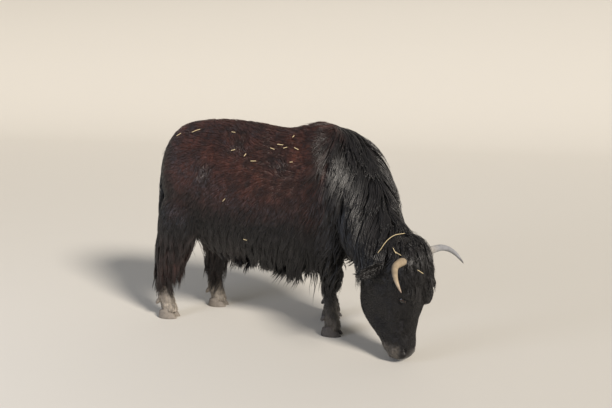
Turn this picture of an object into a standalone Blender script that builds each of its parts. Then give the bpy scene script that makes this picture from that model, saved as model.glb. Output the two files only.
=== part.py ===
"""A grazing domestic yak cow as a still, life-size model.

Metres, +Z up, +X towards the head and +Y to the animal's left. The animal is
laid out about the middle of its four feet, and at the end everything is moved
so that the origin lies under the middle of the whole model.
"""

import math
import random
from collections import namedtuple

import bmesh
import bpy
from mathutils import Matrix, Vector
from mathutils.bvhtree import BVHTree

# Driving dimensions of the body
GAP = 0.0003
POCKET_GAP = 0.0009
# Edges shorter than this are closed up; the smaller ones are tried when the first fails
SPECKS = (2e-4, 1e-4, 3e-4, 5e-5, 4e-4, 1e-5, 1e-6)
ORIGIN = Vector((0.260, -0.215, 0.0))

# How much of the long hair's depth the core of a node takes
CORE_REACH = 0.45
BELLY_FRINGE = 0.095
THIGH_FRINGE = 0.055
FORELEG_FRINGE = 0.035
MANE_DEPTH = 0.035
CREST_HAIR = 0.029

# Places of the feet: forward of the middle, and to the left of it
HALF_TRACK = 0.14
FEET = {
    "fore_right": (0.478, -HALF_TRACK),
    "fore_left": (0.400, HALF_TRACK),
    "hind_right": (-0.490, -HALF_TRACK),
    "hind_left": (-0.308, HALF_TRACK),
}
HIP = Vector((-0.36, 0.125, 0.82))
SHOULDER = Vector((0.40, 0.130, 0.72))

# Heights at which a leg is parted, and the slope of the hoof's upper edge
FORE_PART_HEIGHT = 0.262
HIND_PART_HEIGHT = 0.272
CORONET_HEIGHT = 0.058
CORONET_SLOPE = math.radians(16)

# The head: where the poll is, and how the head is turned and tipped
POLL = Vector((0.980, -0.410, 0.560))
HEAD_YAW = math.radians(-17.5)
HEAD_PITCH = math.radians(87.3)
HEAD_ROLL = math.radians(2.7)
EYE_PLACE = Vector((0.224, 0.096, -0.052))
EYE_RADIUS = 0.019

# How finely the skin is melted together, smoothed and thinned
BODY_VOXEL = 0.011
BODY_SMOOTHING = 8
BODY_TRIANGLES = 2800
HEAD_VOXEL = 0.006
HEAD_SMOOTHING = 4
HEAD_TRIANGLES = 2000

Section = namedtuple("Section", "top bottom half_width widest upper_power lower_power")


def rotation_about_side(angle):
    """Return the turn that tips +X down by the angle, about the left side axis."""
    return Matrix.Rotation(angle, 4, "Y")


HEAD_FRAME = (
    Matrix.Translation(POLL)
    @ Matrix.Rotation(HEAD_YAW, 4, "Z")
    @ rotation_about_side(HEAD_PITCH)
    @ Matrix.Rotation(HEAD_ROLL, 4, "X")
)


# Plain mesh helpers


def object_from_bmesh(name, bm):
    """Make an object of the bmesh, linked to the scene."""
    mesh = bpy.data.meshes.new(name)
    bm.to_mesh(mesh)
    bm.free()
    made = bpy.data.objects.new(name, mesh)
    bpy.context.scene.collection.objects.link(made)
    return made


def drop(*objects):
    """Remove objects that were only used in the making."""
    for item in objects:
        bpy.data.objects.remove(item, do_unlink=True)


def apply_modifiers(item):
    """Replace the object's mesh by the one its modifiers give."""
    bpy.context.view_layer.update()
    graph = bpy.context.evaluated_depsgraph_get()
    mesh = bpy.data.meshes.new_from_object(item.evaluated_get(graph))
    item.modifiers.clear()
    item.data = mesh
    return item


def boolean(item, operation, other=None, group=None, solver="MANIFOLD"):
    """Cut or join the object with another one or with a collection's objects."""
    modifier = item.modifiers.new("cut", "BOOLEAN")
    modifier.operation = operation
    modifier.solver = solver
    if group is None:
        modifier.object = other
    else:
        modifier.operand_type = "COLLECTION"
        modifier.collection = group
    return apply_modifiers(item)


def connected_shells(bm):
    """Return the sets of faces that hang together over clean edges."""
    unseen = set(bm.faces)
    shells = []
    while unseen:
        first = unseen.pop()
        shell, front = {first}, [first]
        while front:
            face = front.pop()
            clean = (edge for edge in face.edges if len(edge.link_faces) == 2)
            for near in (other for edge in clean for other in edge.link_faces):
                if near in unseen:
                    unseen.discard(near)
                    shell.add(near)
                    front.append(near)
        shells.append(shell)
    return shells


def largest_shell(mesh, speck):
    """Return a bmesh of the mesh's largest shell, with edges under the speck closed up."""
    bm = bmesh.new()
    bm.from_mesh(mesh)
    bmesh.ops.remove_doubles(bm, verts=bm.verts, dist=speck)
    bmesh.ops.dissolve_degenerate(bm, edges=bm.edges, dist=speck)
    bmesh.ops.triangulate(bm, faces=bm.faces)
    shells = connected_shells(bm)
    largest = max(shells, key=lambda shell: sum(face.calc_area() for face in shell))
    loose = [face for face in bm.faces if face not in largest]
    bmesh.ops.delete(bm, geom=loose, context="FACES")
    stray = [vertex for vertex in bm.verts if not vertex.link_faces]
    bmesh.ops.delete(bm, geom=stray, context="VERTS")
    return bm


def keep_largest(item):
    """Keep only the object's largest closed surface, cleaned as far as it stays closed."""
    for speck in SPECKS:
        bm = largest_shell(item.data, speck)
        closed = all(edge.is_manifold for edge in bm.edges)
        if closed:
            bm.to_mesh(item.data)
        bm.free()
        if closed:
            return item
    raise ValueError(item.name + " is not closed")


def copy_of(item, name):
    """Return a copy of the object with a mesh of its own."""
    twin = item.copy()
    twin.data = item.data.copy()
    twin.name = name
    bpy.context.scene.collection.objects.link(twin)
    return twin


def grown(item, distance):
    """Return a copy whose surface stands out from the object's by the distance."""
    twin = copy_of(item, "grown")
    bm = bmesh.new()
    bm.from_mesh(twin.data)
    bm.normal_update()
    moves = [vertex.normal * distance * vertex.calc_shell_factor() for vertex in bm.verts]
    for vertex, move in zip(bm.verts, moves):
        vertex.co += move
    bm.to_mesh(twin.data)
    bm.free()
    return twin


# Lofted flesh


def spline(values, place):
    """Return the value at a place along a smooth curve through the values."""
    last = len(values) - 1
    index = min(int(place), last - 1)
    t = place - index
    before = values[max(index - 1, 0)]
    start, end = values[index], values[index + 1]
    after = values[min(index + 2, last)]
    bend = (end - before) * 0.5
    leave = (after - start) * 0.5
    square, cube = t * t, t * t * t
    return (
        start * (2 * cube - 3 * square + 1)
        + bend * (cube - 2 * square + t)
        + end * (3 * square - 2 * cube)
        + leave * (cube - square)
    )


def power_wave(value, power):
    """Return a signed power of a sine or cosine, which squares or points an ellipse."""
    return math.copysign(abs(value) ** (2.0 / power), value)


class Form:
    """A run of sections, read at any place along it and any angle round it.

    The angle is 0 on the animal's left, 90 degrees at a section's top.
    """

    def __init__(self, sections, side_axis=None):
        self.fields = list(zip(*sections))
        self.last = len(sections) - 1
        self.side_axis = side_axis

    def middle(self, place):
        """Return the middle of the section at a place."""
        place = min(max(place, 0.0), float(self.last))
        return (spline(self.fields[0], place) + spline(self.fields[1], place)) * 0.5

    def point(self, place, angle):
        """Return the point of the outline at a place and an angle."""
        top, bottom, half_width, widest, upper, lower = (
            spline(field, place) for field in self.fields
        )
        rise = top - bottom
        along = self.middle(place + 0.3) - self.middle(place - 0.3)
        side = self.side_axis or rise.cross(along).normalized()
        across, up = math.cos(angle), math.sin(angle)
        power = upper if up >= 0 else lower
        reach = rise * ((1 - widest) if up >= 0 else widest)
        return (
            bottom + rise * widest
            + side * (half_width * power_wave(across, power))
            + reach * power_wave(up, power)
        )

    def loft(self, name, sides=24, steps=3):
        """Skin the sections with one closed mesh, smooth from one to the next."""
        rings = [
            [self.point(i / steps, math.tau * k / sides) for k in range(sides)]
            for i in range(self.last * steps + 1)
        ]
        return skin_rings(name, rings)


def skin_rings(name, rings, point=None):
    """Return a closed mesh over rings of points, flat at the start and at the end.

    With a point, the far end runs out to it instead.
    """
    bm = bmesh.new()
    rings = [[bm.verts.new(place) for place in ring] for ring in rings]
    count = len(rings[0])
    for ring, following in zip(rings, rings[1:]):
        for k in range(count):
            n = (k + 1) % count
            bm.faces.new((ring[k], ring[n], following[n], following[k]))
    bm.faces.new(rings[0][::-1])
    if point is None:
        bm.faces.new(rings[-1])
    else:
        tip = bm.verts.new(point)
        for k in range(count):
            bm.faces.new((rings[-1][k], rings[-1][(k + 1) % count], tip))
    bmesh.ops.recalc_face_normals(bm, faces=bm.faces)
    bmesh.ops.triangulate(bm, faces=bm.faces)
    return object_from_bmesh(name, bm)


def blend(items, voxel, rounds, triangles):
    """Melt closed forms into one skin and thin it to about the given triangles."""
    bm = bmesh.new()
    for item in items:
        bm.from_mesh(item.data)
    whole = object_from_bmesh("blend", bm)
    melt = whole.modifiers.new("melt", "REMESH")
    melt.mode = "VOXEL"
    melt.voxel_size = voxel
    soften = whole.modifiers.new("soften", "SMOOTH")
    soften.factor = 0.5
    soften.iterations = rounds
    apply_modifiers(whole)
    keep_largest(whole)
    thin = whole.modifiers.new("thin", "DECIMATE")
    thin.ratio = triangles / len(whole.data.polygons)
    apply_modifiers(whole)
    drop(*items)
    return keep_largest(whole)


# The flesh of the animal, section by section


def torso_sections():
    """Return the trunk from the rump to the breast, with its coat."""
    rows = (
        # x, top, bottom, half width, widest share, upper power, lower power
        (-0.526, 0.900, 0.680, 0.090, 0.50, 2.1, 2.0),
        (-0.505, 0.980, 0.620, 0.150, 0.50, 2.3, 2.0),
        (-0.465, 1.046, 0.560, 0.200, 0.52, 2.4, 2.0),
        (-0.400, 1.104, 0.500, 0.234, 0.52, 2.3, 2.0),
        (-0.280, 1.128, 0.455, 0.258, 0.50, 2.2, 2.0),
        (-0.120, 1.130, 0.425, 0.286, 0.46, 2.1, 2.1),
        (0.050, 1.112, 0.402, 0.292, 0.45, 2.0, 2.1),
        (0.180, 1.094, 0.386, 0.282, 0.45, 2.0, 2.1),
        (0.290, 1.110, 0.384, 0.262, 0.46, 1.9, 2.1),
        (0.390, 1.130, 0.400, 0.246, 0.46, 1.8, 2.1),
        (0.480, 1.108, 0.430, 0.232, 0.46, 1.8, 2.1),
        (0.560, 1.030, 0.445, 0.195, 0.46, 1.9, 2.0),
        (0.610, 0.930, 0.490, 0.130, 0.46, 2.0, 2.0),
    )
    sections = []
    for x, top, bottom, half_width, widest, upper, lower in rows:
        fringe = BELLY_FRINGE * CORE_REACH * min(1.0, max(0.0, (x + 0.50) / 0.25))
        sections.append(
            Section(
                Vector((x, 0, top)), Vector((x, 0, bottom - fringe)),
                half_width, widest, upper, lower,
            )
        )
    return sections


def neck_sections():
    """Return the neck from inside the shoulders to the back of the head."""
    rows = (
        # crest point, throat point, half width
        ((0.440, 0.000, 1.090), (0.440, 0.000, 0.500), 0.190),
        ((0.545, -0.005, 1.052), (0.540, -0.010, 0.440), 0.180),
        ((0.625, -0.040, 0.980), (0.600, -0.070, 0.430), 0.160),
        ((0.683, -0.100, 0.880), (0.645, -0.145, 0.425), 0.142),
        ((0.732, -0.170, 0.785), (0.690, -0.220, 0.415), 0.128),
        ((0.790, -0.245, 0.695), (0.735, -0.285, 0.395), 0.118),
        ((0.870, -0.325, 0.625), (0.790, -0.345, 0.380), 0.110),
        ((0.940, -0.385, 0.575), (0.860, -0.375, 0.375), 0.100),
    )
    sections = []
    for crest, throat, half_width in rows:
        spread = MANE_DEPTH * CORE_REACH
        sections.append(
            Section(
                Vector(crest) + Vector((0.3, 0, 1.0)).normalized() * CREST_HAIR,
                Vector(throat), half_width + spread, 0.46, 1.9, 1.9,
            )
        )
    return sections


def head_sections():
    """Return the head from the poll to the muzzle, in the head's own frame."""
    rows = (
        # x, forehead side, jaw side, half width, widest share, upper, lower
        (-0.066, -0.050, -0.150, 0.060, 0.55, 2.0, 2.0),
        (-0.036, -0.008, -0.215, 0.100, 0.60, 2.2, 2.0),
        (0.020, 0.018, -0.270, 0.120, 0.64, 2.4, 2.0),
        (0.080, 0.024, -0.305, 0.125, 0.66, 2.5, 1.9),
        (0.145, 0.018, -0.328, 0.126, 0.68, 2.5, 1.8),
        (0.208, 0.004, -0.338, 0.120, 0.70, 2.5, 1.8),
        (0.270, -0.012, -0.346, 0.102, 0.70, 2.4, 1.8),
        (0.333, -0.028, -0.336, 0.084, 0.70, 2.3, 1.8),
        (0.395, -0.040, -0.292, 0.074, 0.68, 2.3, 1.9),
        (0.447, -0.046, -0.238, 0.071, 0.62, 2.4, 2.1),
        (0.494, -0.052, -0.198, 0.073, 0.55, 2.5, 2.3),
        (0.528, -0.066, -0.176, 0.064, 0.50, 2.4, 2.3),
        (0.541, -0.086, -0.158, 0.044, 0.50, 2.2, 2.2),
    )
    sections = []
    for x, top, bottom, half_width, widest, upper, lower in rows:
        sections.append(
            Section(
                Vector((x, 0, top)), Vector((x, 0, bottom)),
                half_width, widest, upper, lower,
            )
        )
    return sections


def leg_sections(name):
    """Return one leg from inside the trunk to the coronet."""
    foot_x, foot_y = FEET[name]
    side = math.copysign(1.0, foot_y)
    if name.startswith("hind"):
        joint, fringe = HIP, THIGH_FRINGE
        rows = (
            # height, share of foot place, offset, half length, half width, side shift, fringe
            (0.840, 0.00, 0.040, 0.090, 0.050, -0.020, 0.0),
            (0.740, 0.10, 0.030, 0.130, 0.080, -0.004, 0.2),
            (0.640, 0.22, 0.028, 0.140, 0.094, 0.010, 0.5),
            (0.550, 0.38, 0.026, 0.126, 0.082, 0.018, 0.8),
            (0.470, 0.60, 0.020, 0.098, 0.062, 0.014, 0.9),
            (0.400, 0.80, 0.018, 0.080, 0.048, 0.008, 1.1),
            (0.345, 0.92, 0.016, 0.065, 0.042, 0.004, 1.1),
            (0.305, 1.00, 0.002, 0.054, 0.040, 0.000, 0.6),
            (0.275, 1.00, -0.028, 0.048, 0.038, 0.000, 0.0),
            (0.210, 1.00, -0.024, 0.043, 0.035, 0.000, 0.0),
            (0.150, 1.00, -0.022, 0.044, 0.036, 0.000, 0.0),
            (0.115, 1.00, -0.018, 0.047, 0.041, 0.000, 0.0),
            (0.080, 1.00, -0.006, 0.045, 0.043, 0.000, 0.0),
            (0.030, 1.00, 0.006, 0.048, 0.046, 0.000, 0.0),
        )
    else:
        joint, fringe = SHOULDER, FORELEG_FRINGE
        rows = (
            (0.760, 0.00, -0.010, 0.110, 0.075, 0.000, 0.0),
            (0.660, 0.10, -0.012, 0.115, 0.078, 0.006, 0.5),
            (0.570, 0.25, -0.010, 0.098, 0.070, 0.012, 1.0),
            (0.480, 0.50, -0.006, 0.074, 0.058, 0.012, 1.3),
            (0.400, 0.75, -0.002, 0.056, 0.048, 0.006, 1.4),
            (0.330, 0.95, 0.002, 0.048, 0.044, 0.002, 0.8),
            (0.285, 1.00, -0.002, 0.043, 0.042, 0.000, 0.2),
            (0.230, 1.00, -0.010, 0.034, 0.034, 0.000, 0.0),
            (0.150, 1.00, -0.014, 0.034, 0.034, 0.000, 0.0),
            (0.110, 1.00, -0.008, 0.042, 0.041, 0.000, 0.0),
            (0.080, 1.00, 0.000, 0.043, 0.043, 0.000, 0.0),
            (0.030, 1.00, 0.006, 0.046, 0.046, 0.000, 0.0),
        )
    sections = []
    for z, share, offset, half_length, half_width, shift, hair in rows:
        x = joint.x * (1 - share) + foot_x * share + offset
        y = side * (joint.y * (1 - share) + abs(foot_y) * share + shift)
        spread = fringe * CORE_REACH * hair
        reach = half_length + spread
        sections.append(
            Section(
                Vector((x + reach, y, z)), Vector((x - reach, y, z)),
                half_width + spread, 0.5, 2.1, 2.1,
            )
        )
    return sections


def tail_sections():
    """Return the tail, hanging close behind the thighs."""
    rows = (
        # x, height, half length, half width
        (-0.500, 0.985, 0.028, 0.034),
        (-0.530, 0.930, 0.028, 0.034),
        (-0.549, 0.850, 0.028, 0.034),
        (-0.565, 0.740, 0.027, 0.034),
        (-0.580, 0.600, 0.025, 0.032),
        (-0.596, 0.450, 0.022, 0.028),
        (-0.612, 0.340, 0.014, 0.018),
        (-0.622, 0.280, 0.006, 0.008),
    )
    return [
        Section(
            Vector((x + half_length, 0, z)), Vector((x - half_length, 0, z)),
            half_width, 0.5, 2.0, 2.0,
        )
        for x, z, half_length, half_width in rows
    ]


# Regions that part the whole into nodes


def prism(name, corners, low, high, inset=0.0):
    """Return a cutter: a convex outline in X and Z, drawn from one Y to another."""
    middle = sum((Vector(corner) for corner in corners), Vector((0, 0))) / len(corners)
    moved = []
    for index, corner in enumerate(corners):
        here = Vector(corner)
        before = Vector(corners[index - 1])
        after = Vector(corners[(index + 1) % len(corners)])
        turn_in = (here - before).normalized()
        turn_out = (after - here).normalized()
        normal_in = Vector((turn_in.y, -turn_in.x))
        normal_out = Vector((turn_out.y, -turn_out.x))
        if normal_in.dot(middle - here) > 0:
            normal_in, normal_out = -normal_in, -normal_out
        mitre = (normal_in + normal_out) / (1 + normal_in.dot(normal_out))
        moved.append(here - mitre * inset)
    rings = [[Vector((p.x, y, p.y)) for p in moved] for y in (low + inset, high - inset)]
    return skin_rings(name, rings)


def half_space(name, point, normal, size=3.0):
    """Return a large box that fills the side of a plane that the normal points to."""
    bm = bmesh.new()
    bmesh.ops.create_cube(bm, size=size)
    turn = Vector(normal).to_track_quat("Z", "X").to_matrix().to_4x4()
    place = Matrix.Translation(point) @ turn @ Matrix.Translation((0, 0, size / 2))
    bmesh.ops.transform(bm, matrix=place, verts=bm.verts)
    return object_from_bmesh(name, bm)


LEG_REGIONS = {
    # outline in X and Z, then the nearer and farther side
    "hind": (((-0.90, 0.94), (-0.90, -0.20), (-0.145, -0.20), (-0.145, 0.46)), 0.0, 0.60),
    "fore": (((0.27, 0.565), (0.27, -0.20), (0.57, -0.20), (0.57, 0.565)), 0.070, 0.60),
}
TAIL_REGION = ((-0.508, 1.30), (-0.552, -0.20), (-1.00, -0.20), (-1.00, 1.30))
TAIL_HALF_WIDTH = 0.075
NECK_PLANE = (Vector((0.505, 0.0, 0.80)), Vector((1.0, 0.0, 0.10)).normalized())
HEAD_PLANE = (
    HEAD_FRAME @ Vector((-0.050, 0, -0.110)),
    (HEAD_FRAME.to_3x3() @ Vector((0.80, 0, 0.60))).normalized(),
)


def leg_region(name, inset):
    """Return the cutter that holds the whole of one leg."""
    outline, low, high = LEG_REGIONS[name.split("_")[0]]
    if name.endswith("right"):
        low, high = -high, -low
    return prism("region_" + name, outline, low, high, inset)


def tail_region(inset):
    """Return the cutter that holds the tail."""
    return prism("region_tail", TAIL_REGION, -TAIL_HALF_WIDTH, TAIL_HALF_WIDTH, inset)


def plane_side(plane, sign):
    """Return the half space on one side of a plane, held back by half the gap."""
    point, normal = plane
    way = normal * sign
    return half_space("side", point + way * (GAP / 2), way)


def cut_to(item, keep=(), away=()):
    """Keep the part of the object inside some cutters and outside others."""
    for cutter in keep:
        boolean(item, "INTERSECT", other=cutter)
        drop(cutter)
    for cutter in away:
        boolean(item, "DIFFERENCE", other=cutter)
        drop(cutter)
    return keep_largest(item)


# Locks of long hair

Style = namedtuple("Style", "length width lift fall cling")
MANE = Style(0.270, 0.084, 0.014, 0.25, 0.85)
FRINGE = Style(0.155, 0.078, 0.010, 0.45, 0.0)
TROUSER = Style(0.150, 0.066, 0.011, 0.40, 0.0)
SLEEVE = Style(0.145, 0.058, 0.010, 0.45, 0.0)
SWITCH = Style(0.210, 0.040, 0.007, 0.35, 0.0)
FORELOCK = Style(0.150, 0.050, 0.011, 0.10, 0.8)
LOCK_STEPS = 3
LOCK_SINK = 0.013
LOCK_FLATNESS = 0.26


def surface_of(item):
    """Return a tree that finds the nearest point of the object's surface."""
    bm = bmesh.new()
    bm.from_mesh(item.data)
    tree = BVHTree.FromBMesh(bm)
    bm.free()
    return tree


def lock(surface, root, heading, style, rng):
    """Return one flat, tapered lock that leaves the surface and bends to hang."""
    place, normal, _, _ = surface.find_nearest(root)
    length = style.length * rng.uniform(0.85, 1.15)
    width = style.width * rng.uniform(0.85, 1.15)
    heading = (heading - normal * heading.dot(normal)).normalized()
    heading = Matrix.Rotation(rng.uniform(-0.16, 0.16), 3, normal) @ heading
    here = place
    stops = [(place - normal * LOCK_SINK - heading * 0.006, normal)]
    for step in range(LOCK_STEPS):
        here = here + heading * (length / LOCK_STEPS)
        close, normal, _, _ = surface.find_nearest(here)
        height = (here - close).dot(normal)
        lift = style.lift * (0.55 + 0.45 * step / LOCK_STEPS) * rng.uniform(0.85, 1.3)
        free = max(height - lift, 0.0) * (1.0 - style.cling)
        if height < lift or style.cling > 0:
            here = close + normal * (lift + free)
        stops.append((here, normal))
        drop_way = heading.lerp(Vector((0, 0, -1)), style.fall)
        heading = drop_way.normalized()
    rings = []
    for index, (centre, normal) in enumerate(stops[:-1]):
        ahead = stops[index + 1][0] - stops[max(index - 1, 0)][0]
        side = ahead.cross(normal).normalized()
        out = side.cross(ahead).normalized()
        share = index / LOCK_STEPS
        half = width * 0.5 * (0.75 + 1.05 * share - 1.9 * share * share)
        thick = half * 2 * LOCK_FLATNESS
        rings.append(
            [centre - side * half, centre - out * thick * 0.6, centre + side * half,
             centre + out * thick * 0.6]
        )
    return skin_rings("lock", rings, point=stops[-1][0])


def fuse(item, locks):
    """Join the locks to the object with one union."""
    group = bpy.data.collections.new("locks")
    for piece in locks:
        group.objects.link(piece)
    boolean(item, "UNION", group=group)
    bpy.data.collections.remove(group)
    drop(*locks)
    return item


def row_of_locks(form, surface, places, angles, heading, style, count, rng):
    """Return locks set evenly along a line over the form, each varied a little."""
    locks = []
    for index in range(count):
        share = (index + rng.uniform(0.25, 0.75)) / count
        place = places[0] + (places[1] - places[0]) * share
        angle = math.radians(angles[0] + (angles[1] - angles[0]) * share)
        locks.append(lock(surface, form.point(place, angle), heading(share), style, rng))
    return locks


def mirrored(degrees, side):
    """Return the angles on the animal's left, or the same ones on its right."""
    return degrees if side > 0 else tuple(180 - angle for angle in degrees)


def mane_locks(form, surface):
    """Return the long hair of both sides of the neck and under the throat."""
    rng = random.Random(11)
    locks = []
    for side in (1, -1):
        for degrees, count, spread in ((82, 6, 0.60), (46, 6, 0.30), (12, 5, 0.16)):
            angles = mirrored((degrees, degrees), side)
            locks += row_of_locks(
                form, surface, (0.95, 5.7), angles,
                lambda share: Vector((0.10 + 0.30 * share, side * spread - 0.2 * share, -1.0)),
                MANE, count, rng,
            )
        angles = mirrored((-50, -62), side)
        locks += row_of_locks(
            form, surface, (1.3, 4.6), angles,
            lambda share: Vector((0.05, 0.0, -1.0)),
            FRINGE._replace(length=0.12), 3, rng,
        )
    return locks


def flank_locks(form, surface):
    """Return the hair of the shoulders and the fringe under the belly."""
    rng = random.Random(23)
    locks = []
    for side in (1, -1):
        for degrees, spread in ((74, 0.6), (46, 0.3)):
            locks += row_of_locks(
                form, surface, (8.5, 10.05), mirrored((degrees, degrees), side),
                lambda share: Vector((0.06, side * spread, -1.0)), MANE, 3, rng,
            )
        for degrees, count, length in ((-24, 8, 0.190), (-52, 6, 0.135)):
            locks += row_of_locks(
                form, surface, (4.1, 8.3), mirrored((degrees, degrees - 2), side),
                lambda share: Vector((-0.08, 0.0, -1.0)),
                FRINGE._replace(length=length), count, rng,
            )
    return locks


def leg_locks(name, form, surface):
    """Return the trousers of a hind leg or the sleeve of a foreleg."""
    rng = random.Random(31 + sorted(FEET).index(name))
    side = math.copysign(1.0, FEET[name][1])
    if name.startswith("hind"):
        rows = (((2.7, 2.7), (-70, 100), 5, 0.200), ((3.9, 3.9), (-110, 135), 6, 0.170))
        style = TROUSER
    else:
        rows = (((2.9, 2.9), (-120, 60), 4, 0.215), ((4.0, 4.0), (-130, 110), 5, 0.125))
        style = SLEEVE
    locks = []
    for places, angles, count, length in rows:
        locks += row_of_locks(
            form, surface, places, mirrored(angles, side),
            lambda share: Vector((-0.06, 0.0, -1.0)),
            style._replace(length=length), count, rng,
        )
    return locks


def tail_locks(form, surface):
    """Return the long hair of the tail."""
    rng = random.Random(43)
    locks = []
    for place, count, turn in ((2.0, 3, 150), (3.2, 4, 110), (4.5, 4, 65)):
        locks += row_of_locks(
            form, surface, (place, place + 0.8), (turn, turn + 360),
            lambda share: Vector((0.0, 0.0, -1.0)), SWITCH, count, rng,
        )
    return locks


def forelock_locks(surface):
    """Return the hair that falls from the poll over the forehead."""
    rng = random.Random(59)
    turn = HEAD_FRAME.to_3x3()
    locks = []
    for x, right, left, count, length in (
        (0.120, -0.060, 0.104, 4, 0.150),
        (0.060, -0.064, 0.080, 4, 0.160),
        (0.010, -0.040, 0.050, 3, 0.160),
    ):
        style = FORELOCK._replace(length=length)
        for index in range(count):
            y = right + (left - right) * index / (count - 1)
            root = HEAD_FRAME @ Vector((x, y, 0.06))
            heading = turn @ Vector((1.0, y * 2.5, 0.0))
            locks.append(lock(surface, root, heading, style, rng))
    return locks


# Hooves


def claw_mesh(name, leg, outward):
    """Return one claw of a cloven hoof, with a flat sole and a sloping wall."""
    foot_x, foot_y = FEET[leg]
    length, width, height = 0.108, 0.047, 0.066
    centre_y = foot_y + outward * (width * 0.5 + 0.0035)
    heel = foot_x - length * 0.48
    rows = (
        # height share, shrink at the toe, shrink at the heel, width share
        (0.00, 0.000, 0.000, 0.96),
        (0.10, 0.003, -0.002, 1.00),
        (0.55, 0.026, 0.004, 0.97),
        (1.00, 0.048, 0.010, 0.90),
    )
    rings = []
    for share, toe_cut, heel_cut, width_share in rows:
        ring = []
        back = heel + heel_cut
        front = heel + length - toe_cut
        for angle in round_angles(10):
            forward = math.cos(angle)
            taper = 1.0 - 0.38 * max(forward, 0.0) ** 2
            x = (back + front) / 2 + (front - back) / 2 * power_wave(forward, 2.3)
            y = width * 0.5 * width_share * power_wave(math.sin(angle), 2.4) * taper
            lean = -outward * 0.006 * max(forward, 0.0) * (1 - share)
            ring.append(Vector((x, centre_y + y + lean, height * share)))
        rings.append(ring)
    return skin_rings(name, rings)


def coronet_plane(leg):
    """Return the plane between the hairy pastern and the hoof."""
    foot_x, foot_y = FEET[leg]
    point = Vector((foot_x, foot_y, CORONET_HEIGHT))
    normal = Vector((-math.sin(CORONET_SLOPE), 0, math.cos(CORONET_SLOPE)))
    return point, normal


def dewclaw_mesh(name, leg, outward):
    """Return one small dewclaw behind the fetlock."""
    foot_x, foot_y = FEET[leg]
    back = 0.066 if leg.startswith("hind") else 0.050
    start = Vector((foot_x - back + 0.022, foot_y + outward * 0.020, 0.112))
    end = Vector((foot_x - back - 0.004, foot_y + outward * 0.024, 0.080))
    return tapered(name, (start, (start + end) / 2, end), (0.012, 0.0125, 0.005), 7)


def round_angles(sides):
    """Return the angles of evenly spaced sides."""
    return [math.tau * k / sides for k in range(sides)]


def tapered(name, points, radii, sides):
    """Return a closed round form along the points with the given radii."""
    rings = []
    for i, (point, radius) in enumerate(zip(points, radii)):
        along = points[min(i + 1, len(points) - 1)] - points[max(i - 1, 0)]
        turn = along.to_track_quat("Z", "Y").to_matrix()
        spokes = (Vector((math.cos(a), math.sin(a), 0)) for a in round_angles(sides))
        rings.append([point + turn @ spoke * radius for spoke in spokes])
    return skin_rings(name, rings)


# Horns, ears, eyes and the features of the face, in the head's own frame


def horn_mesh(name, side, spare=0.0):
    """Return one slender horn: out to the side, then curving to the face."""
    rows = (
        # to the nose, to the side, to the forehead, radius
        (0.032, 0.070, -0.040, 0.0195),
        (0.028, 0.116, -0.034, 0.0195),
        (0.024, 0.170, -0.022, 0.0178),
        (0.025, 0.222, -0.008, 0.0155),
        (0.040, 0.262, 0.012, 0.0128),
        (0.066, 0.289, 0.034, 0.0096),
        (0.096, 0.301, 0.056, 0.0054),
        (0.113, 0.304, 0.068, 0.0015),
    )
    points = [HEAD_FRAME @ Vector((x, side * y, z)) for x, y, z, _ in rows]
    radii = [row[3] + spare for row in rows]
    places = [i / 1.5 for i in range(int((len(points) - 1) * 1.5) + 1)] + [len(points) - 1]
    smooth = [spline(points, place) for place in places]
    smooth[0] -= (smooth[1] - smooth[0]).normalized() * spare
    wide = [spline(radii, place) for place in places]
    return tapered(name, smooth, wide, 10)


def ear_mesh(name, side):
    """Return one ear, a leaf with a cupped front."""
    length, half_width, thickness, cup = 0.160, 0.044, 0.011, 0.026
    root = Vector((0.068, side * 0.094, -0.112))
    out = Vector((0.14, side * 0.90, -0.42)).normalized()
    front = Vector((0.30, side * 0.10, 0.95))
    front = (front - out * front.dot(out)).normalized()
    across = out.cross(front) * side
    stations, slices = 6, 6
    rings = []
    for i in range(stations + 1):
        u = i / stations
        wide = half_width * max(math.sin(math.pi * (0.16 + 0.80 * u)) ** 0.8, 0.12)
        centre = root + out * (length * u) - front * (0.020 * u * u)
        hollow = cup * math.sin(math.pi * min(0.25 + 0.65 * u, 1.0))
        ring = []
        for k in range(slices + 1):
            v = -1 + 2 * k / slices
            lift = hollow * (v * v - 1) + thickness * (1 - v * v) * 0.5
            ring.append(centre + across * (wide * v) + front * lift)
        for k in range(slices - 1, 0, -1):
            v = -1 + 2 * k / slices
            lift = hollow * (v * v - 1) - thickness * 0.9
            ring.append(centre + across * (wide * v * 1.04) + front * lift)
        rings.append([HEAD_FRAME @ point for point in ring])
    tip = HEAD_FRAME @ (root + out * (length * 1.04) - front * 0.022)
    return skin_rings(name, rings, point=tip)


def ball(name, centre, radius, detail=2):
    """Return a round ball of even triangles."""
    bm = bmesh.new()
    bmesh.ops.create_icosphere(bm, subdivisions=detail, radius=radius)
    bmesh.ops.translate(bm, verts=bm.verts, vec=centre)
    return object_from_bmesh(name, bm)


def eye_seat(side, surface):
    """Return the middle of an eyeball sunk in the face, and the way it looks."""
    guess = HEAD_FRAME @ Vector((EYE_PLACE.x, side * EYE_PLACE.y, EYE_PLACE.z))
    place, outward, _, _ = surface.find_nearest(guess)
    return place - outward * EYE_RADIUS * 0.70, outward


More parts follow.
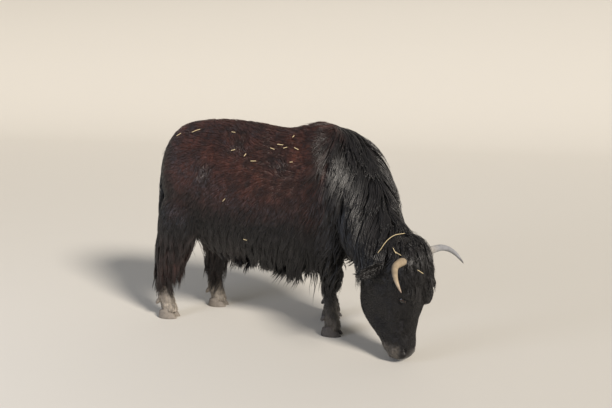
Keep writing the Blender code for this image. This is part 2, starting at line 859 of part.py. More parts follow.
def lid_meshes(side, surface):
    """Return the upper and lower lid as two thin bows that meet at the corners."""
    centre, outward = eye_seat(side, surface)
    along = HEAD_FRAME.to_3x3() @ Vector((1.0, 0.0, -0.25))
    along = (along - outward * along.dot(outward)).normalized()
    up = outward.cross(along) * side
    lids = []
    for rise, thick in ((0.0150, 0.0060), (-0.0130, 0.0048)):
        points, radii = [], []
        for k in range(6):
            turn = math.pi * k / 5
            flat = along * (-0.024 * math.cos(turn)) + up * (rise * math.sin(turn))
            depth = math.sqrt(max((EYE_RADIUS + 0.004) ** 2 - flat.length_squared, 0.0))
            points.append(centre + flat + outward * max(depth, EYE_RADIUS * 0.6))
            radii.append(thick * (0.6 + 0.4 * math.sin(turn)))
        lids.append(tapered("lid", points, radii, 6))
    return lids


def mouth_cutter(surface):
    """Return a thin bent rod whose half-sunk path draws the mouth."""
    rows = ((0.420, 0.085, -0.190), (0.450, 0.085, -0.172), (0.480, 0.085, -0.160),
            (0.510, 0.075, -0.150), (0.545, 0.045, -0.142), (0.560, 0.000, -0.140))
    half = [Vector(row) for row in rows]
    other = [Vector((p.x, -p.y, p.z)) for p in half[-2::-1]]
    path = [surface.find_nearest(HEAD_FRAME @ point)[0] for point in half + other]
    return tapered("mouth", path, [0.0015] + [0.0042] * (len(path) - 2) + [0.0015], 5)


def nostril_cutter(side):
    """Return the slanting plug that hollows out a nostril."""
    rows = ((0.560, 0.066, -0.080), (0.526, 0.050, -0.088), (0.494, 0.036, -0.098))
    path = [HEAD_FRAME @ Vector((x, side * y, z)) for x, y, z in rows]
    return tapered("nostril", path, (0.0120, 0.0115, 0.0050), 8)


def lip_forms():
    """Return the bulges of the chin, the nostril wings, the brows and the forelock."""
    rows = (
        # to the nose, to the side, to the forehead, radius
        (0.500, 0.000, -0.158, 0.036),
        (0.502, 0.038, -0.094, 0.034),
        (0.502, -0.038, -0.094, 0.034),
        (0.186, 0.076, -0.046, 0.037),
        (0.186, -0.076, -0.046, 0.037),
        (0.100, 0.026, -0.002, 0.048),
        (0.160, 0.036, 0.002, 0.045),
        (0.215, 0.046, 0.000, 0.043),
        (0.252, 0.052, 0.000, 0.035),
    )
    return [ball("bulge", HEAD_FRAME @ Vector(row[:3]), row[3]) for row in rows]


# Colours as red, green and blue, then roughness
COATS = {
    "coat_black": ((0.020, 0.017, 0.019), 0.75),
    "coat_brown": ((0.055, 0.034, 0.030), 0.80),
    "coat_leg": ((0.040, 0.036, 0.038), 0.80),
    "horn": ((0.430, 0.330, 0.240), 0.45),
    "hoof": ((0.260, 0.240, 0.230), 0.70),
    "eye": ((0.010, 0.008, 0.008), 0.08),
}


def dress(item, finish, node):
    """Name the finished node and give it a material of its own."""
    colour, roughness = COATS[finish]
    material = bpy.data.materials.new(node + "_" + finish)
    material.use_nodes = True
    shader = material.node_tree.nodes["Principled BSDF"]
    shader.inputs["Base Color"].default_value = (*colour, 1.0)
    shader.inputs["Roughness"].default_value = roughness
    shader.inputs["Metallic"].default_value = 0.0
    item.data.materials.clear()
    item.data.materials.append(material)
    item.name = node
    item.data.name = node
    item.data.shade_smooth()
    item.data.transform(Matrix.Translation(-ORIGIN))
    return item


# The animal, node by node

SIDE = Vector((0, 1, 0))


def head_form():
    """Return the head's loft, placed in the world."""
    form = Form(head_sections(), SIDE).loft("head", sides=28)
    form.data.transform(HEAD_FRAME)
    return form


def build_body():
    """Model the trunk, neck and legs whole, then part them with thin cuts."""
    torso_form = Form(torso_sections(), SIDE)
    neck_form = Form(neck_sections())
    leg_forms = {leg: Form(leg_sections(leg), SIDE) for leg in FEET}
    forms = [torso_form.loft("torso"), neck_form.loft("neck"), head_form()]
    forms += [form.loft(leg, sides=16) for leg, form in leg_forms.items()]
    whole = blend(forms, BODY_VOXEL, BODY_SMOOTHING, BODY_TRIANGLES)
    surface = surface_of(whole)
    for leg, form in leg_forms.items():
        height = HIND_PART_HEIGHT if leg.startswith("hind") else FORE_PART_HEIGHT
        level = (Vector((0, 0, height)), Vector((0, 0, 1)))
        bounds = [leg_region(leg, GAP / 2)]
        lower = cut_to(
            copy_of(whole, leg),
            keep=bounds + [plane_side(level, -1), plane_side(coronet_plane(leg), 1)],
        )
        solid = grown(lower, GAP)
        for outward, word in ((1, "left"), (-1, "right")):
            dewclaw = boolean(dewclaw_mesh("dewclaw", leg, outward), "DIFFERENCE", other=solid)
            dress(keep_largest(dewclaw), "hoof", "dewclaw_" + leg + "_" + word)
        drop(solid)
        upper = fuse(copy_of(whole, leg), leg_locks(leg, form, surface))
        cut_to(
            upper,
            keep=[leg_region(leg, GAP / 2), plane_side(level, 1)],
            away=[tail_region(-GAP / 2)],
        )
        dress(upper, "coat_black", "leg_" + leg)
        dress(lower, "coat_leg", "shank_" + leg)
    neck = fuse(copy_of(whole, "neck"), mane_locks(neck_form, surface))
    cut_to(
        neck,
        keep=[plane_side(NECK_PLANE, 1), plane_side(HEAD_PLANE, -1)],
        away=[leg_region(leg, -GAP / 2) for leg in FEET if leg.startswith("fore")],
    )
    torso = fuse(whole, flank_locks(torso_form, surface))
    cut_to(
        torso,
        keep=[plane_side(NECK_PLANE, -1)],
        away=[leg_region(leg, -GAP / 2) for leg in FEET] + [tail_region(-GAP / 2)],
    )
    dress(neck, "coat_black", "neck")
    dress(torso, "coat_brown", "torso")


def build_head():
    """Model the head with its eyes, horns and ears."""
    parts = [head_form(), Form(neck_sections()).loft("neck")] + lip_forms()
    head = blend(parts, HEAD_VOXEL, HEAD_SMOOTHING, HEAD_TRIANGLES)
    surface = surface_of(head)
    extras = forelock_locks(surface)
    for side in (1, -1):
        extras += lid_meshes(side, surface)
    cut_to(head, keep=[plane_side(HEAD_PLANE, 1)])
    fuse(head, extras)
    cutters = [mouth_cutter(surface)]
    for side, word in ((1, "left"), (-1, "right")):
        cutters.append(nostril_cutter(side))
        seat, _ = eye_seat(side, surface)
        cutters.append(ball("socket", seat, EYE_RADIUS + GAP))
        cutters.append(horn_mesh("socket", side, spare=GAP))
        ear = ear_mesh("ear", side)
        cutters.append(grown(ear, POCKET_GAP))
        dress(ear, "coat_black", "ear_" + word)
        dress(horn_mesh("horn", side), "horn", "horn_" + word)
        dress(ball("eye", seat, EYE_RADIUS), "eye", "eye_" + word)
    cut_to(head, keep=[plane_side(HEAD_PLANE, 1)], away=cutters)
    dress(head, "coat_black", "head")


def build_tail():
    """Model the tail and cut its root flat against the rump."""
    form = Form(tail_sections(), SIDE)
    tail = form.loft("tail", sides=10, steps=2)
    fuse(tail, tail_locks(form, surface_of(tail)))
    cut_to(tail, keep=[tail_region(GAP / 2)])
    dress(tail, "coat_black", "tail")


def build_hooves():
    """Model the claws of all four feet."""
    for leg in FEET:
        for outward, word in ((1, "left"), (-1, "right")):
            claw = claw_mesh("claw", leg, outward)
            cut_to(claw, keep=[plane_side(coronet_plane(leg), -1)])
            dress(claw, "hoof", "claw_" + leg + "_" + word)


def main():
    """Build every node of the animal."""
    for item in list(bpy.data.objects):
        bpy.data.objects.remove(item, do_unlink=True)
    build_body()
    build_head()
    build_tail()
    build_hooves()


main()
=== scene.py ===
"""The looks of a grazing yak cow: its skin, coat, horns, hooves and eyes, and a plain studio.

The flesh is worked out once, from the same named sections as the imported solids, and
the coat grows on it as thin tapered tufts that follow the lie of the hair.
"""

import logging
import math
from collections.abc import Sequence
from dataclasses import dataclass, field
from enum import Enum

import bmesh
import bpy
import numpy as np
from mathutils import Matrix, Vector
from mathutils.bvhtree import BVHTree


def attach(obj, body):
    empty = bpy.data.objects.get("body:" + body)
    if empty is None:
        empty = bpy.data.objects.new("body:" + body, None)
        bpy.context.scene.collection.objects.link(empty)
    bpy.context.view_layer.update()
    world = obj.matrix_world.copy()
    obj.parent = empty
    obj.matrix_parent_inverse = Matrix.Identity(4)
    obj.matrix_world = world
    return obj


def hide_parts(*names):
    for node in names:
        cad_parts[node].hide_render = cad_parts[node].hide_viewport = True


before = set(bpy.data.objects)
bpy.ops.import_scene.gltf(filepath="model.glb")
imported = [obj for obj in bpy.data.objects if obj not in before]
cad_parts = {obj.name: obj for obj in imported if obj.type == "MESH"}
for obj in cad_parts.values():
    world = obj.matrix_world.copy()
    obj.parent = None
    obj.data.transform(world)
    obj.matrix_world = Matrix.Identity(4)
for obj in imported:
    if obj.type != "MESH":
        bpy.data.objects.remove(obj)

LOG = logging.getLogger("yak")
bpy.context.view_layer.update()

# The solids are laid out about the middle of the feet and then moved by this much
ORIGIN = Vector((0.260, -0.215, 0.0))
LEFT = Vector((0, 1, 0))
DOWN = Vector((0, 0, -1))
NUMBER = "ShaderNodeMath"
VECTOR = "ShaderNodeVectorMath"
HALF_TRACK = 0.14
FEET = {
    "fore_right": (0.478, -HALF_TRACK),
    "fore_left": (0.400, HALF_TRACK),
    "hind_right": (-0.490, -HALF_TRACK),
    "hind_left": (-0.308, HALF_TRACK),
}
CORONET_HEIGHT = 0.058
CORONET_SLOPE = math.radians(16)

# The head's own frame: x to the nose, y to the left, z out of the forehead
HEAD_FRAME = (
    Matrix.Translation((0.980, -0.410, 0.560))
    @ Matrix.Rotation(math.radians(-17.5), 4, "Z")
    @ Matrix.Rotation(math.radians(87.3), 4, "Y")
    @ Matrix.Rotation(math.radians(2.7), 4, "X")
)
EYE_PLACE = Vector((0.224, 0.096, -0.052))
EYE_RADIUS = 0.019

# Whorls in the hair of the flanks, with painted shade at the middle of each: along the body,
# height, size, turn
WHORLS = ((-0.011, 1.009, 0.070, 1.6), (-0.199, 0.877, 0.065, -1.5), (0.233, 0.891, 0.060, 1.4))


class Side(Enum):
    """The two sides of the animal, and the sign of Y on each."""

    LEFT = 1
    RIGHT = -1

    @property
    def word(self) -> str:
        """Return the side's name as the nodes use it."""
        return self.name.lower()


class Slot(str, Enum):
    """The material slots."""

    COAT_BLACK = "coat_black"
    COAT_BROWN = "coat_brown"
    COAT_LEG = "coat_leg"
    HORN = "horn"
    HOOF = "hoof"
    EYE = "eye"


class Zone(Enum):
    """The stretches of hide that carry one kind of coat each."""

    FLANK_RIGHT = "flank_right"
    FLANK_LEFT = "flank_left"
    BACK = "back"
    RUMP = "rump"
    NECK = "neck"
    SKIRT_RIGHT = "skirt_right"
    SKIRT_LEFT = "skirt_left"
    FACE = "face"
    FORELOCK = "forelock"
    SHANKS = "shanks"
    TAIL = "tail"
    EARS = "ears"


# Small helpers


def linear(code: str) -> tuple[float, float, float, float]:
    """Turn an sRGB hex colour to linear light.

    Args:
        code: The colour as six hex digits.

    Returns:
        Red, green, blue and full alpha.
    """
    parts = [int(code[i : i + 2], 16) / 255 for i in (0, 2, 4)]
    light = [p / 12.92 if p <= 0.04045 else ((p + 0.055) / 1.055) ** 2.4 for p in parts]
    return (*light, 1.0)


def add_node(tree: bpy.types.NodeTree, kind: str, settings: dict, links: dict) -> bpy.types.Node:
    """Add a node with its settings and links.

    Args:
        tree: The tree that gets the node.
        kind: The node's type.
        settings: The node's own properties.
        links: For each input, by number or name, a socket to link or a value.

    Returns:
        The new node.
    """
    node = tree.nodes.new(kind)
    for name, value in settings.items():
        setattr(node, name, value)
    for key, value in links.items():
        if isinstance(key, int):
            socket = node.inputs[key]
        else:
            socket = next(s for s in node.inputs if s.enabled and s.name == key)
        if isinstance(value, bpy.types.NodeSocket):
            tree.links.new(value, socket)
        else:
            socket.default_value = value
    return node


def ramp(values: np.ndarray, start: float, end: float) -> np.ndarray:
    """Return 0 before the start, 1 past the end and a smooth rise between them."""
    t = np.clip((values - start) / (end - start), 0.0, 1.0)
    return t * t * (3.0 - 2.0 * t)


def unit(vectors: np.ndarray) -> np.ndarray:
    """Return the vectors with a length of one."""
    return vectors / np.maximum(np.linalg.norm(vectors, axis=1, keepdims=True), 1e-9)


def object_from(name: str, mesh: bpy.types.Mesh) -> bpy.types.Object:
    """Return a new object of the mesh, linked to the scene."""
    made = bpy.data.objects.new(name, mesh)
    bpy.context.scene.collection.objects.link(made)
    return made


def object_from_bmesh(name: str, bm: bmesh.types.BMesh) -> bpy.types.Object:
    """Return a new object of the bmesh, which is freed."""
    mesh = bpy.data.meshes.new(name)
    bm.to_mesh(mesh)
    bm.free()
    return object_from(name, mesh)


def drop(*items: bpy.types.Object) -> None:
    """Remove objects that were only used in the making."""
    for item in items:
        bpy.data.objects.remove(item, do_unlink=True)


def settle(item: bpy.types.Object) -> bpy.types.Object:
    """Turn the object's modifiers into its plain mesh and remove them."""
    bpy.context.view_layer.update()
    graph = bpy.context.evaluated_depsgraph_get()
    mesh = bpy.data.meshes.new_from_object(
        item.evaluated_get(graph), preserve_all_data_layers=True, depsgraph=graph
    )
    item.modifiers.clear()
    item.data = mesh
    return item


def carve(item: bpy.types.Object, operation: str, *others: bpy.types.Object) -> bpy.types.Object:
    """Join closed meshes to the object or cut them from it, and remove them.

    Args:
        item: The object that changes.
        operation: The Boolean modifier's operation.
        others: The closed meshes, used in order.

    Returns:
        The same object.
    """
    for other in others:
        cut = item.modifiers.new("cut", "BOOLEAN")
        cut.operation = operation
        cut.solver = "MANIFOLD"
        cut.object = other
        settle(item)
        drop(other)
    return item


def coordinates(mesh: bpy.types.Mesh) -> np.ndarray:
    """Return the mesh's points as rows of x, y and z."""
    values = np.empty(len(mesh.vertices) * 3, np.float32)
    mesh.vertices.foreach_get("co", values)
    return values.reshape(-1, 3).astype(float)


def normals_of(mesh: bpy.types.Mesh) -> np.ndarray:
    """Return the way out of the surface at each point of the mesh."""
    values = np.empty(len(mesh.vertices) * 3, np.float32)
    mesh.vertex_normals.foreach_get("vector", values)
    return values.reshape(-1, 3).astype(float)


def write_attribute(mesh: bpy.types.Mesh, name: str, values: np.ndarray) -> None:
    """Store one number or one vector for each point of the mesh."""
    kind, key = ("FLOAT", "value") if values.ndim == 1 else ("FLOAT_VECTOR", "vector")
    attribute = mesh.attributes.get(name) or mesh.attributes.new(name, kind, "POINT")
    attribute.data.foreach_set(key, values.astype(np.float32).ravel())


def surface_of(item: bpy.types.Object) -> BVHTree:
    """Return a tree that finds the nearest point of the object's surface."""
    bm = bmesh.new()
    bm.from_mesh(item.data)
    tree = BVHTree.FromBMesh(bm)
    bm.free()
    return tree


def place(item: bpy.types.Object, name: str, material: bpy.types.Material,
          replaced: Sequence[str] = ()) -> bpy.types.Object:
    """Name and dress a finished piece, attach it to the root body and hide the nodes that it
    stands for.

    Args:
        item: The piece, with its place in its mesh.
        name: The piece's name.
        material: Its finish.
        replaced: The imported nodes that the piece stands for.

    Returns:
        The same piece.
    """
    item.name = name
    item.data.name = name
    item.data.materials.clear()
    item.data.materials.append(material)
    item.data.shade_smooth()
    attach(item, "root")
    if replaced:
        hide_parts(*replaced)
    LOG.info("%s: %d faces", name, len(item.data.polygons))
    return item


# Lofted flesh


def spline(values: Sequence, where: float):
    """Return the value at a place along a smooth curve through the values."""
    last = len(values) - 1
    index = min(int(where), last - 1)
    t = where - index
    before = values[max(index - 1, 0)]
    start, end = values[index], values[index + 1]
    after = values[min(index + 2, last)]
    bend = (end - before) * 0.5
    leave = (after - start) * 0.5
    square, cube = t * t, t * t * t
    return (
        start * (2 * cube - 3 * square + 1)
        + bend * (cube - 2 * square + t)
        + end * (3 * square - 2 * cube)
        + leave * (cube - square)
    )


def power_wave(value: float, power: float) -> float:
    """Return a signed power of a sine or cosine, which squares or points an ellipse."""
    return math.copysign(abs(value) ** (2.0 / power), value)


def skin_rings(name: str, rings: Sequence, point: Vector | None = None) -> bpy.types.Object:
    """Return a closed mesh over rings of points.

    Args:
        name: The object's name.
        rings: The rings, each with the same number of points.
        point: Where the far end runs out to; without it that end is flat.

    Returns:
        The closed mesh as an object.
    """
    bm = bmesh.new()
    rings = [[bm.verts.new(spot) for spot in ring] for ring in rings]
    count = len(rings[0])
    for ring, following in zip(rings, rings[1:]):
        for k in range(count):
            n = (k + 1) % count
            bm.faces.new((ring[k], ring[n], following[n], following[k]))
    bm.faces.new(rings[0][::-1])
    if point is None:
        bm.faces.new(rings[-1])
    else:
        tip = bm.verts.new(point)
        for k in range(count):
            bm.faces.new((rings[-1][k], rings[-1][(k + 1) % count], tip))
    bmesh.ops.recalc_face_normals(bm, faces=bm.faces)
    bmesh.ops.triangulate(bm, faces=bm.faces)
    return object_from_bmesh(name, bm)


def tapered(name: str, points: Sequence[Vector], radii: Sequence[float],
            sides: int) -> bpy.types.Object:
    """Return a closed round form along the points with the given radii."""
    rings = []
    for i, (point, radius) in enumerate(zip(points, radii)):
        along = points[min(i + 1, len(points) - 1)] - points[max(i - 1, 0)]
        turn = along.to_track_quat("Z", "Y").to_matrix()
        angles = (math.tau * k / sides for k in range(sides))
        spokes = (Vector((math.cos(angle), math.sin(angle), 0)) for angle in angles)
        rings.append([point + turn @ spoke * radius for spoke in spokes])
    return skin_rings(name, rings)


def ball(name: str, centre: Vector, radius: float, detail: int = 3) -> bpy.types.Object:
    """Return a round ball of even triangles."""
    bm = bmesh.new()
    bmesh.ops.create_icosphere(bm, subdivisions=detail, radius=radius)
    bmesh.ops.translate(bm, verts=bm.verts, vec=centre)
    return object_from_bmesh(name, bm)


@dataclass(frozen=True)
class Section:
    """One cross-section of flesh, a squarish or pointed oval."""

    top: Vector
    bottom: Vector
    half_width: float
    widest: float = 0.5
    upper: float = 2.0
    lower: float = 2.0


@dataclass
class Form:
    """A run of sections that a smooth closed form is drawn over."""

    sections: Sequence[Section]
    side_axis: Vector | None = LEFT

    def read(self, name: str, where: float):
        """Return one measure of the sections at a place along the form."""
        where = min(max(where, 0.0), len(self.sections) - 1.0)
        return spline([getattr(section, name) for section in self.sections], where)

    def middle(self, where: float) -> Vector:
        """Return the middle of the section at a place."""
        return (self.read("top", where) + self.read("bottom", where)) * 0.5

    def ring(self, where: float, sides: int) -> list[Vector]:
        """Return the outline at a place, from the left side over the top."""
        top, bottom = self.read("top", where), self.read("bottom", where)
        half_width, widest = self.read("half_width", where), self.read("widest", where)
        upper, lower = self.read("upper", where), self.read("lower", where)
        rise = top - bottom
        along = self.middle(where + 0.3) - self.middle(where - 0.3)
        side = self.side_axis or rise.cross(along).normalized()
        points = []
        for k in range(sides):
            across, up = math.cos(math.tau * k / sides), math.sin(math.tau * k / sides)
            power = upper if up >= 0 else lower
            reach = rise * ((1 - widest) if up >= 0 else widest)
            points.append(
                bottom + rise * widest
                + side * (half_width * power_wave(across, power))
                + reach * power_wave(up, power)
            )
        return points

    def loft(self, name: str, sides: int = 32, steps: int = 4) -> bpy.types.Object:
        """Return one closed mesh over the sections."""
        count = (len(self.sections) - 1) * steps
        return skin_rings(name, [self.ring(i / steps, sides) for i in range(count + 1)])


@dataclass
class Anatomy:
    """The sections of the whole animal, with the cores of its long hair."""

    core_reach: float = 0.45
    belly_fringe: float = 0.095
    thigh_fringe: float = 0.055
    foreleg_fringe: float = 0.035
    mane_depth: float = 0.035
    crest_hair: float = 0.029
    hip: Vector = field(default_factory=lambda: Vector((-0.36, 0.125, 0.82)))
    shoulder: Vector = field(default_factory=lambda: Vector((0.40, 0.130, 0.72)))

    def torso(self) -> Form:
        """Return the trunk from the rump to the breast."""
        rows = (
            # x, top, bottom, half width, widest share, upper power, lower power
            (-0.526, 0.900, 0.680, 0.090, 0.50, 2.1, 2.0),
            (-0.505, 0.980, 0.620, 0.150, 0.50, 2.3, 2.0),
            (-0.465, 1.046, 0.560, 0.200, 0.52, 2.4, 2.0),
            (-0.400, 1.104, 0.500, 0.234, 0.52, 2.3, 2.0),
            (-0.280, 1.128, 0.455, 0.258, 0.50, 2.2, 2.0),
            (-0.120, 1.130, 0.425, 0.286, 0.46, 2.1, 2.1),
            (0.050, 1.112, 0.402, 0.292, 0.45, 2.0, 2.1),
            (0.180, 1.094, 0.386, 0.282, 0.45, 2.0, 2.1),
            (0.290, 1.110, 0.384, 0.262, 0.46, 1.9, 2.1),
            (0.390, 1.130, 0.400, 0.246, 0.46, 1.8, 2.1),
            (0.480, 1.108, 0.430, 0.232, 0.46, 1.8, 2.1),
            (0.560, 1.030, 0.445, 0.195, 0.46, 1.9, 2.0),
            (0.610, 0.930, 0.490, 0.130, 0.46, 2.0, 2.0),
        )
        sections = []
        for x, top, bottom, *shape in rows:
            fringe = self.belly_fringe * self.core_reach * min(1.0, max(0.0, (x + 0.5) * 4))
            sections.append(Section(Vector((x, 0, top)), Vector((x, 0, bottom - fringe)), *shape))
        return Form(sections)

    def neck(self) -> Form:
        """Return the neck from inside the shoulders to the back of the head."""
        rows = (
            # crest point, throat point, half width
            ((0.440, 0.000, 1.090), (0.440, 0.000, 0.500), 0.190),
            ((0.545, -0.005, 1.052), (0.540, -0.010, 0.440), 0.180),
            ((0.625, -0.040, 0.980), (0.600, -0.070, 0.430), 0.160),
            ((0.683, -0.100, 0.880), (0.645, -0.145, 0.425), 0.142),
            ((0.732, -0.170, 0.785), (0.690, -0.220, 0.415), 0.128),
            ((0.790, -0.245, 0.695), (0.735, -0.285, 0.395), 0.118),
            ((0.870, -0.325, 0.625), (0.790, -0.345, 0.380), 0.110),
            ((0.940, -0.385, 0.575), (0.860, -0.375, 0.375), 0.100),
        )
        lift = Vector((0.3, 0, 1.0)).normalized() * self.crest_hair
        spread = self.mane_depth * self.core_reach
        sections = [
            Section(Vector(crest) + lift, Vector(throat), half_width + spread, 0.46, 1.9, 1.9)
            for crest, throat, half_width in rows
        ]
        return Form(sections, None)

    def head(self) -> Form:
        """Return the head from the poll to the muzzle, in its own frame."""
        rows = (
            # x, forehead side, jaw side, half width, widest share, upper, lower
            (-0.066, -0.050, -0.150, 0.060, 0.55, 2.0, 2.0),
            (-0.036, -0.008, -0.215, 0.100, 0.60, 2.2, 2.0),
            (0.020, 0.018, -0.270, 0.120, 0.64, 2.4, 2.0),
            (0.080, 0.024, -0.305, 0.125, 0.66, 2.5, 1.9),
            (0.145, 0.018, -0.328, 0.126, 0.68, 2.5, 1.8),
            (0.208, 0.004, -0.338, 0.120, 0.70, 2.5, 1.8),
            (0.270, -0.012, -0.346, 0.102, 0.70, 2.4, 1.8),
            (0.333, -0.028, -0.336, 0.084, 0.70, 2.3, 1.8),
            (0.395, -0.040, -0.292, 0.074, 0.68, 2.3, 1.9),
            (0.447, -0.046, -0.238, 0.071, 0.62, 2.4, 2.1),
            (0.494, -0.052, -0.198, 0.073, 0.55, 2.5, 2.3),
            (0.528, -0.066, -0.176, 0.064, 0.50, 2.4, 2.3),
            (0.541, -0.086, -0.158, 0.044, 0.50, 2.2, 2.2),
        )
        return Form(
            [Section(Vector((x, 0, top)), Vector((x, 0, low)), *shape)
             for x, top, low, *shape in rows]
        )

    def leg(self, name: str) -> Form:
        """Return one leg from inside the trunk to the coronet."""
        foot_x, foot_y = FEET[name]
        side = math.copysign(1.0, foot_y)
        if name.startswith("hind"):
            joint, fringe = self.hip, self.thigh_fringe
            rows = (
                # height, share of foot place, offset, half length, half width, shift, fringe
                (0.840, 0.00, 0.040, 0.090, 0.050, -0.020, 0.0),
                (0.740, 0.10, 0.030, 0.130, 0.080, -0.004, 0.2),
                (0.640, 0.22, 0.028, 0.140, 0.094, 0.010, 0.5),
                (0.550, 0.38, 0.026, 0.126, 0.082, 0.018, 0.8),
                (0.470, 0.60, 0.020, 0.098, 0.062, 0.014, 0.9),
                (0.400, 0.80, 0.018, 0.080, 0.048, 0.008, 1.1),
                (0.345, 0.92, 0.016, 0.065, 0.042, 0.004, 1.1),
                (0.305, 1.00, 0.002, 0.054, 0.040, 0.000, 0.6),
                (0.275, 1.00, -0.028, 0.048, 0.038, 0.000, 0.0),
                (0.210, 1.00, -0.024, 0.043, 0.035, 0.000, 0.0),
                (0.150, 1.00, -0.022, 0.044, 0.036, 0.000, 0.0),
                (0.115, 1.00, -0.018, 0.047, 0.041, 0.000, 0.0),
                (0.080, 1.00, -0.006, 0.045, 0.043, 0.000, 0.0),
                (0.030, 1.00, 0.006, 0.048, 0.046, 0.000, 0.0),
            )
        else:
            joint, fringe = self.shoulder, self.foreleg_fringe
            rows = (
                (0.760, 0.00, -0.010, 0.110, 0.075, 0.000, 0.0),
                (0.660, 0.10, -0.012, 0.115, 0.078, 0.006, 0.5),
                (0.570, 0.25, -0.010, 0.098, 0.070, 0.012, 1.0),
                (0.480, 0.50, -0.006, 0.074, 0.058, 0.012, 1.3),
                (0.400, 0.75, -0.002, 0.056, 0.048, 0.006, 1.4),
                (0.330, 0.95, 0.002, 0.048, 0.044, 0.002, 0.8),
                (0.285, 1.00, -0.002, 0.043, 0.042, 0.000, 0.2),
                (0.230, 1.00, -0.010, 0.034, 0.034, 0.000, 0.0),
                (0.150, 1.00, -0.014, 0.034, 0.034, 0.000, 0.0),
                (0.110, 1.00, -0.008, 0.042, 0.041, 0.000, 0.0),
                (0.080, 1.00, 0.000, 0.043, 0.043, 0.000, 0.0),
                (0.030, 1.00, 0.006, 0.046, 0.046, 0.000, 0.0),
            )
        sections = []
        for z, share, offset, half_length, half_width, shift, hair in rows:
            x = joint.x * (1 - share) + foot_x * share + offset
            y = side * (joint.y * (1 - share) + abs(foot_y) * share + shift)
            spread = fringe * self.core_reach * hair
            reach = half_length + spread
            front, back = Vector((x + reach, y, z)), Vector((x - reach, y, z))
            sections.append(Section(front, back, half_width + spread, 0.5, 2.1, 2.1))
        return Form(sections)

    def tail(self) -> Form:
        """Return the tail, hanging close behind the thighs."""
        rows = (
            # x, height, half length, half width
            (-0.500, 0.985, 0.028, 0.034),
            (-0.530, 0.930, 0.028, 0.034),
            (-0.549, 0.850, 0.028, 0.034),
            (-0.565, 0.740, 0.027, 0.034),
            (-0.580, 0.600, 0.025, 0.032),
            (-0.596, 0.450, 0.022, 0.028),
            (-0.612, 0.340, 0.014, 0.018),
            (-0.622, 0.280, 0.006, 0.008),
        )
        return Form(
            [Section(Vector((x + half, 0, z)), Vector((x - half, 0, z)), width)
             for x, z, half, width in rows]
        )

    def bulges(self) -> list[bpy.types.Object]:
        """Return the rounded forms of the chin, the nostril wings, the brows and the forelock."""
        rows = (
            # to the nose, to the side, to the forehead, radius
            (0.500, 0.000, -0.158, 0.036),
            (0.502, 0.038, -0.094, 0.034),
            (0.502, -0.038, -0.094, 0.034),
            (0.186, 0.076, -0.046, 0.037),
            (0.186, -0.076, -0.046, 0.037),
            (0.100, 0.026, -0.002, 0.044),
            (0.160, 0.036, 0.002, 0.040),
            (0.212, 0.046, 0.000, 0.036),
            (0.240, 0.050, -0.002, 0.027),
        )
        return [ball("bulge", HEAD_FRAME @ Vector(row[:3]), row[3]) for row in rows]


@dataclass
class Ear:
    """One ear, a leaf with a cupped front that hangs a little."""

    side: Side
    length: float = 0.160
    half_width: float = 0.044
    thickness: float = 0.008
    cup: float = 0.026

    @property
    def root(self) -> Vector:
        """Return where the ear grows from, in the head's frame."""
        return Vector((0.068, self.side.value * 0.094, -0.112))

    @property
    def out(self) -> Vector:
        """Return the way the ear points, in the head's frame."""
        return Vector((0.14, self.side.value * 0.90, -0.42)).normalized()

    def build(self, stations: int = 22, slices: int = 16) -> bpy.types.Object:
        """Return the ear as a closed mesh."""
        front = Vector((0.30, self.side.value * 0.10, 0.95))
        front = (front - self.out * front.dot(self.out)).normalized()
        across = self.out.cross(front) * self.side.value
        rings = []
        for i in range(stations + 1):
            u = i / stations
            wide = self.half_width * max(math.sin(math.pi * (0.16 + 0.80 * u)) ** 0.8, 0.12)
            centre = self.root + self.out * (self.length * u) - front * (0.020 * u * u)
            hollow = self.cup * math.sin(math.pi * min(0.25 + 0.65 * u, 1.0))
            ring = []
            for k in range(2 * slices):
                angle = math.pi * k / slices
                v, rise = -math.cos(angle), math.sin(angle)
                lift = hollow * (v * v - 1) + self.thickness * 0.5 * rise
                ring.append(HEAD_FRAME @ (centre + across * (wide * v) + front * lift))
            rings.append(ring)
        tip = HEAD_FRAME @ (self.root + self.out * (self.length * 1.04) - front * 0.022)
        return skin_rings("ear", rings, point=tip)


# The hide: one skin, and what grows on each point of it


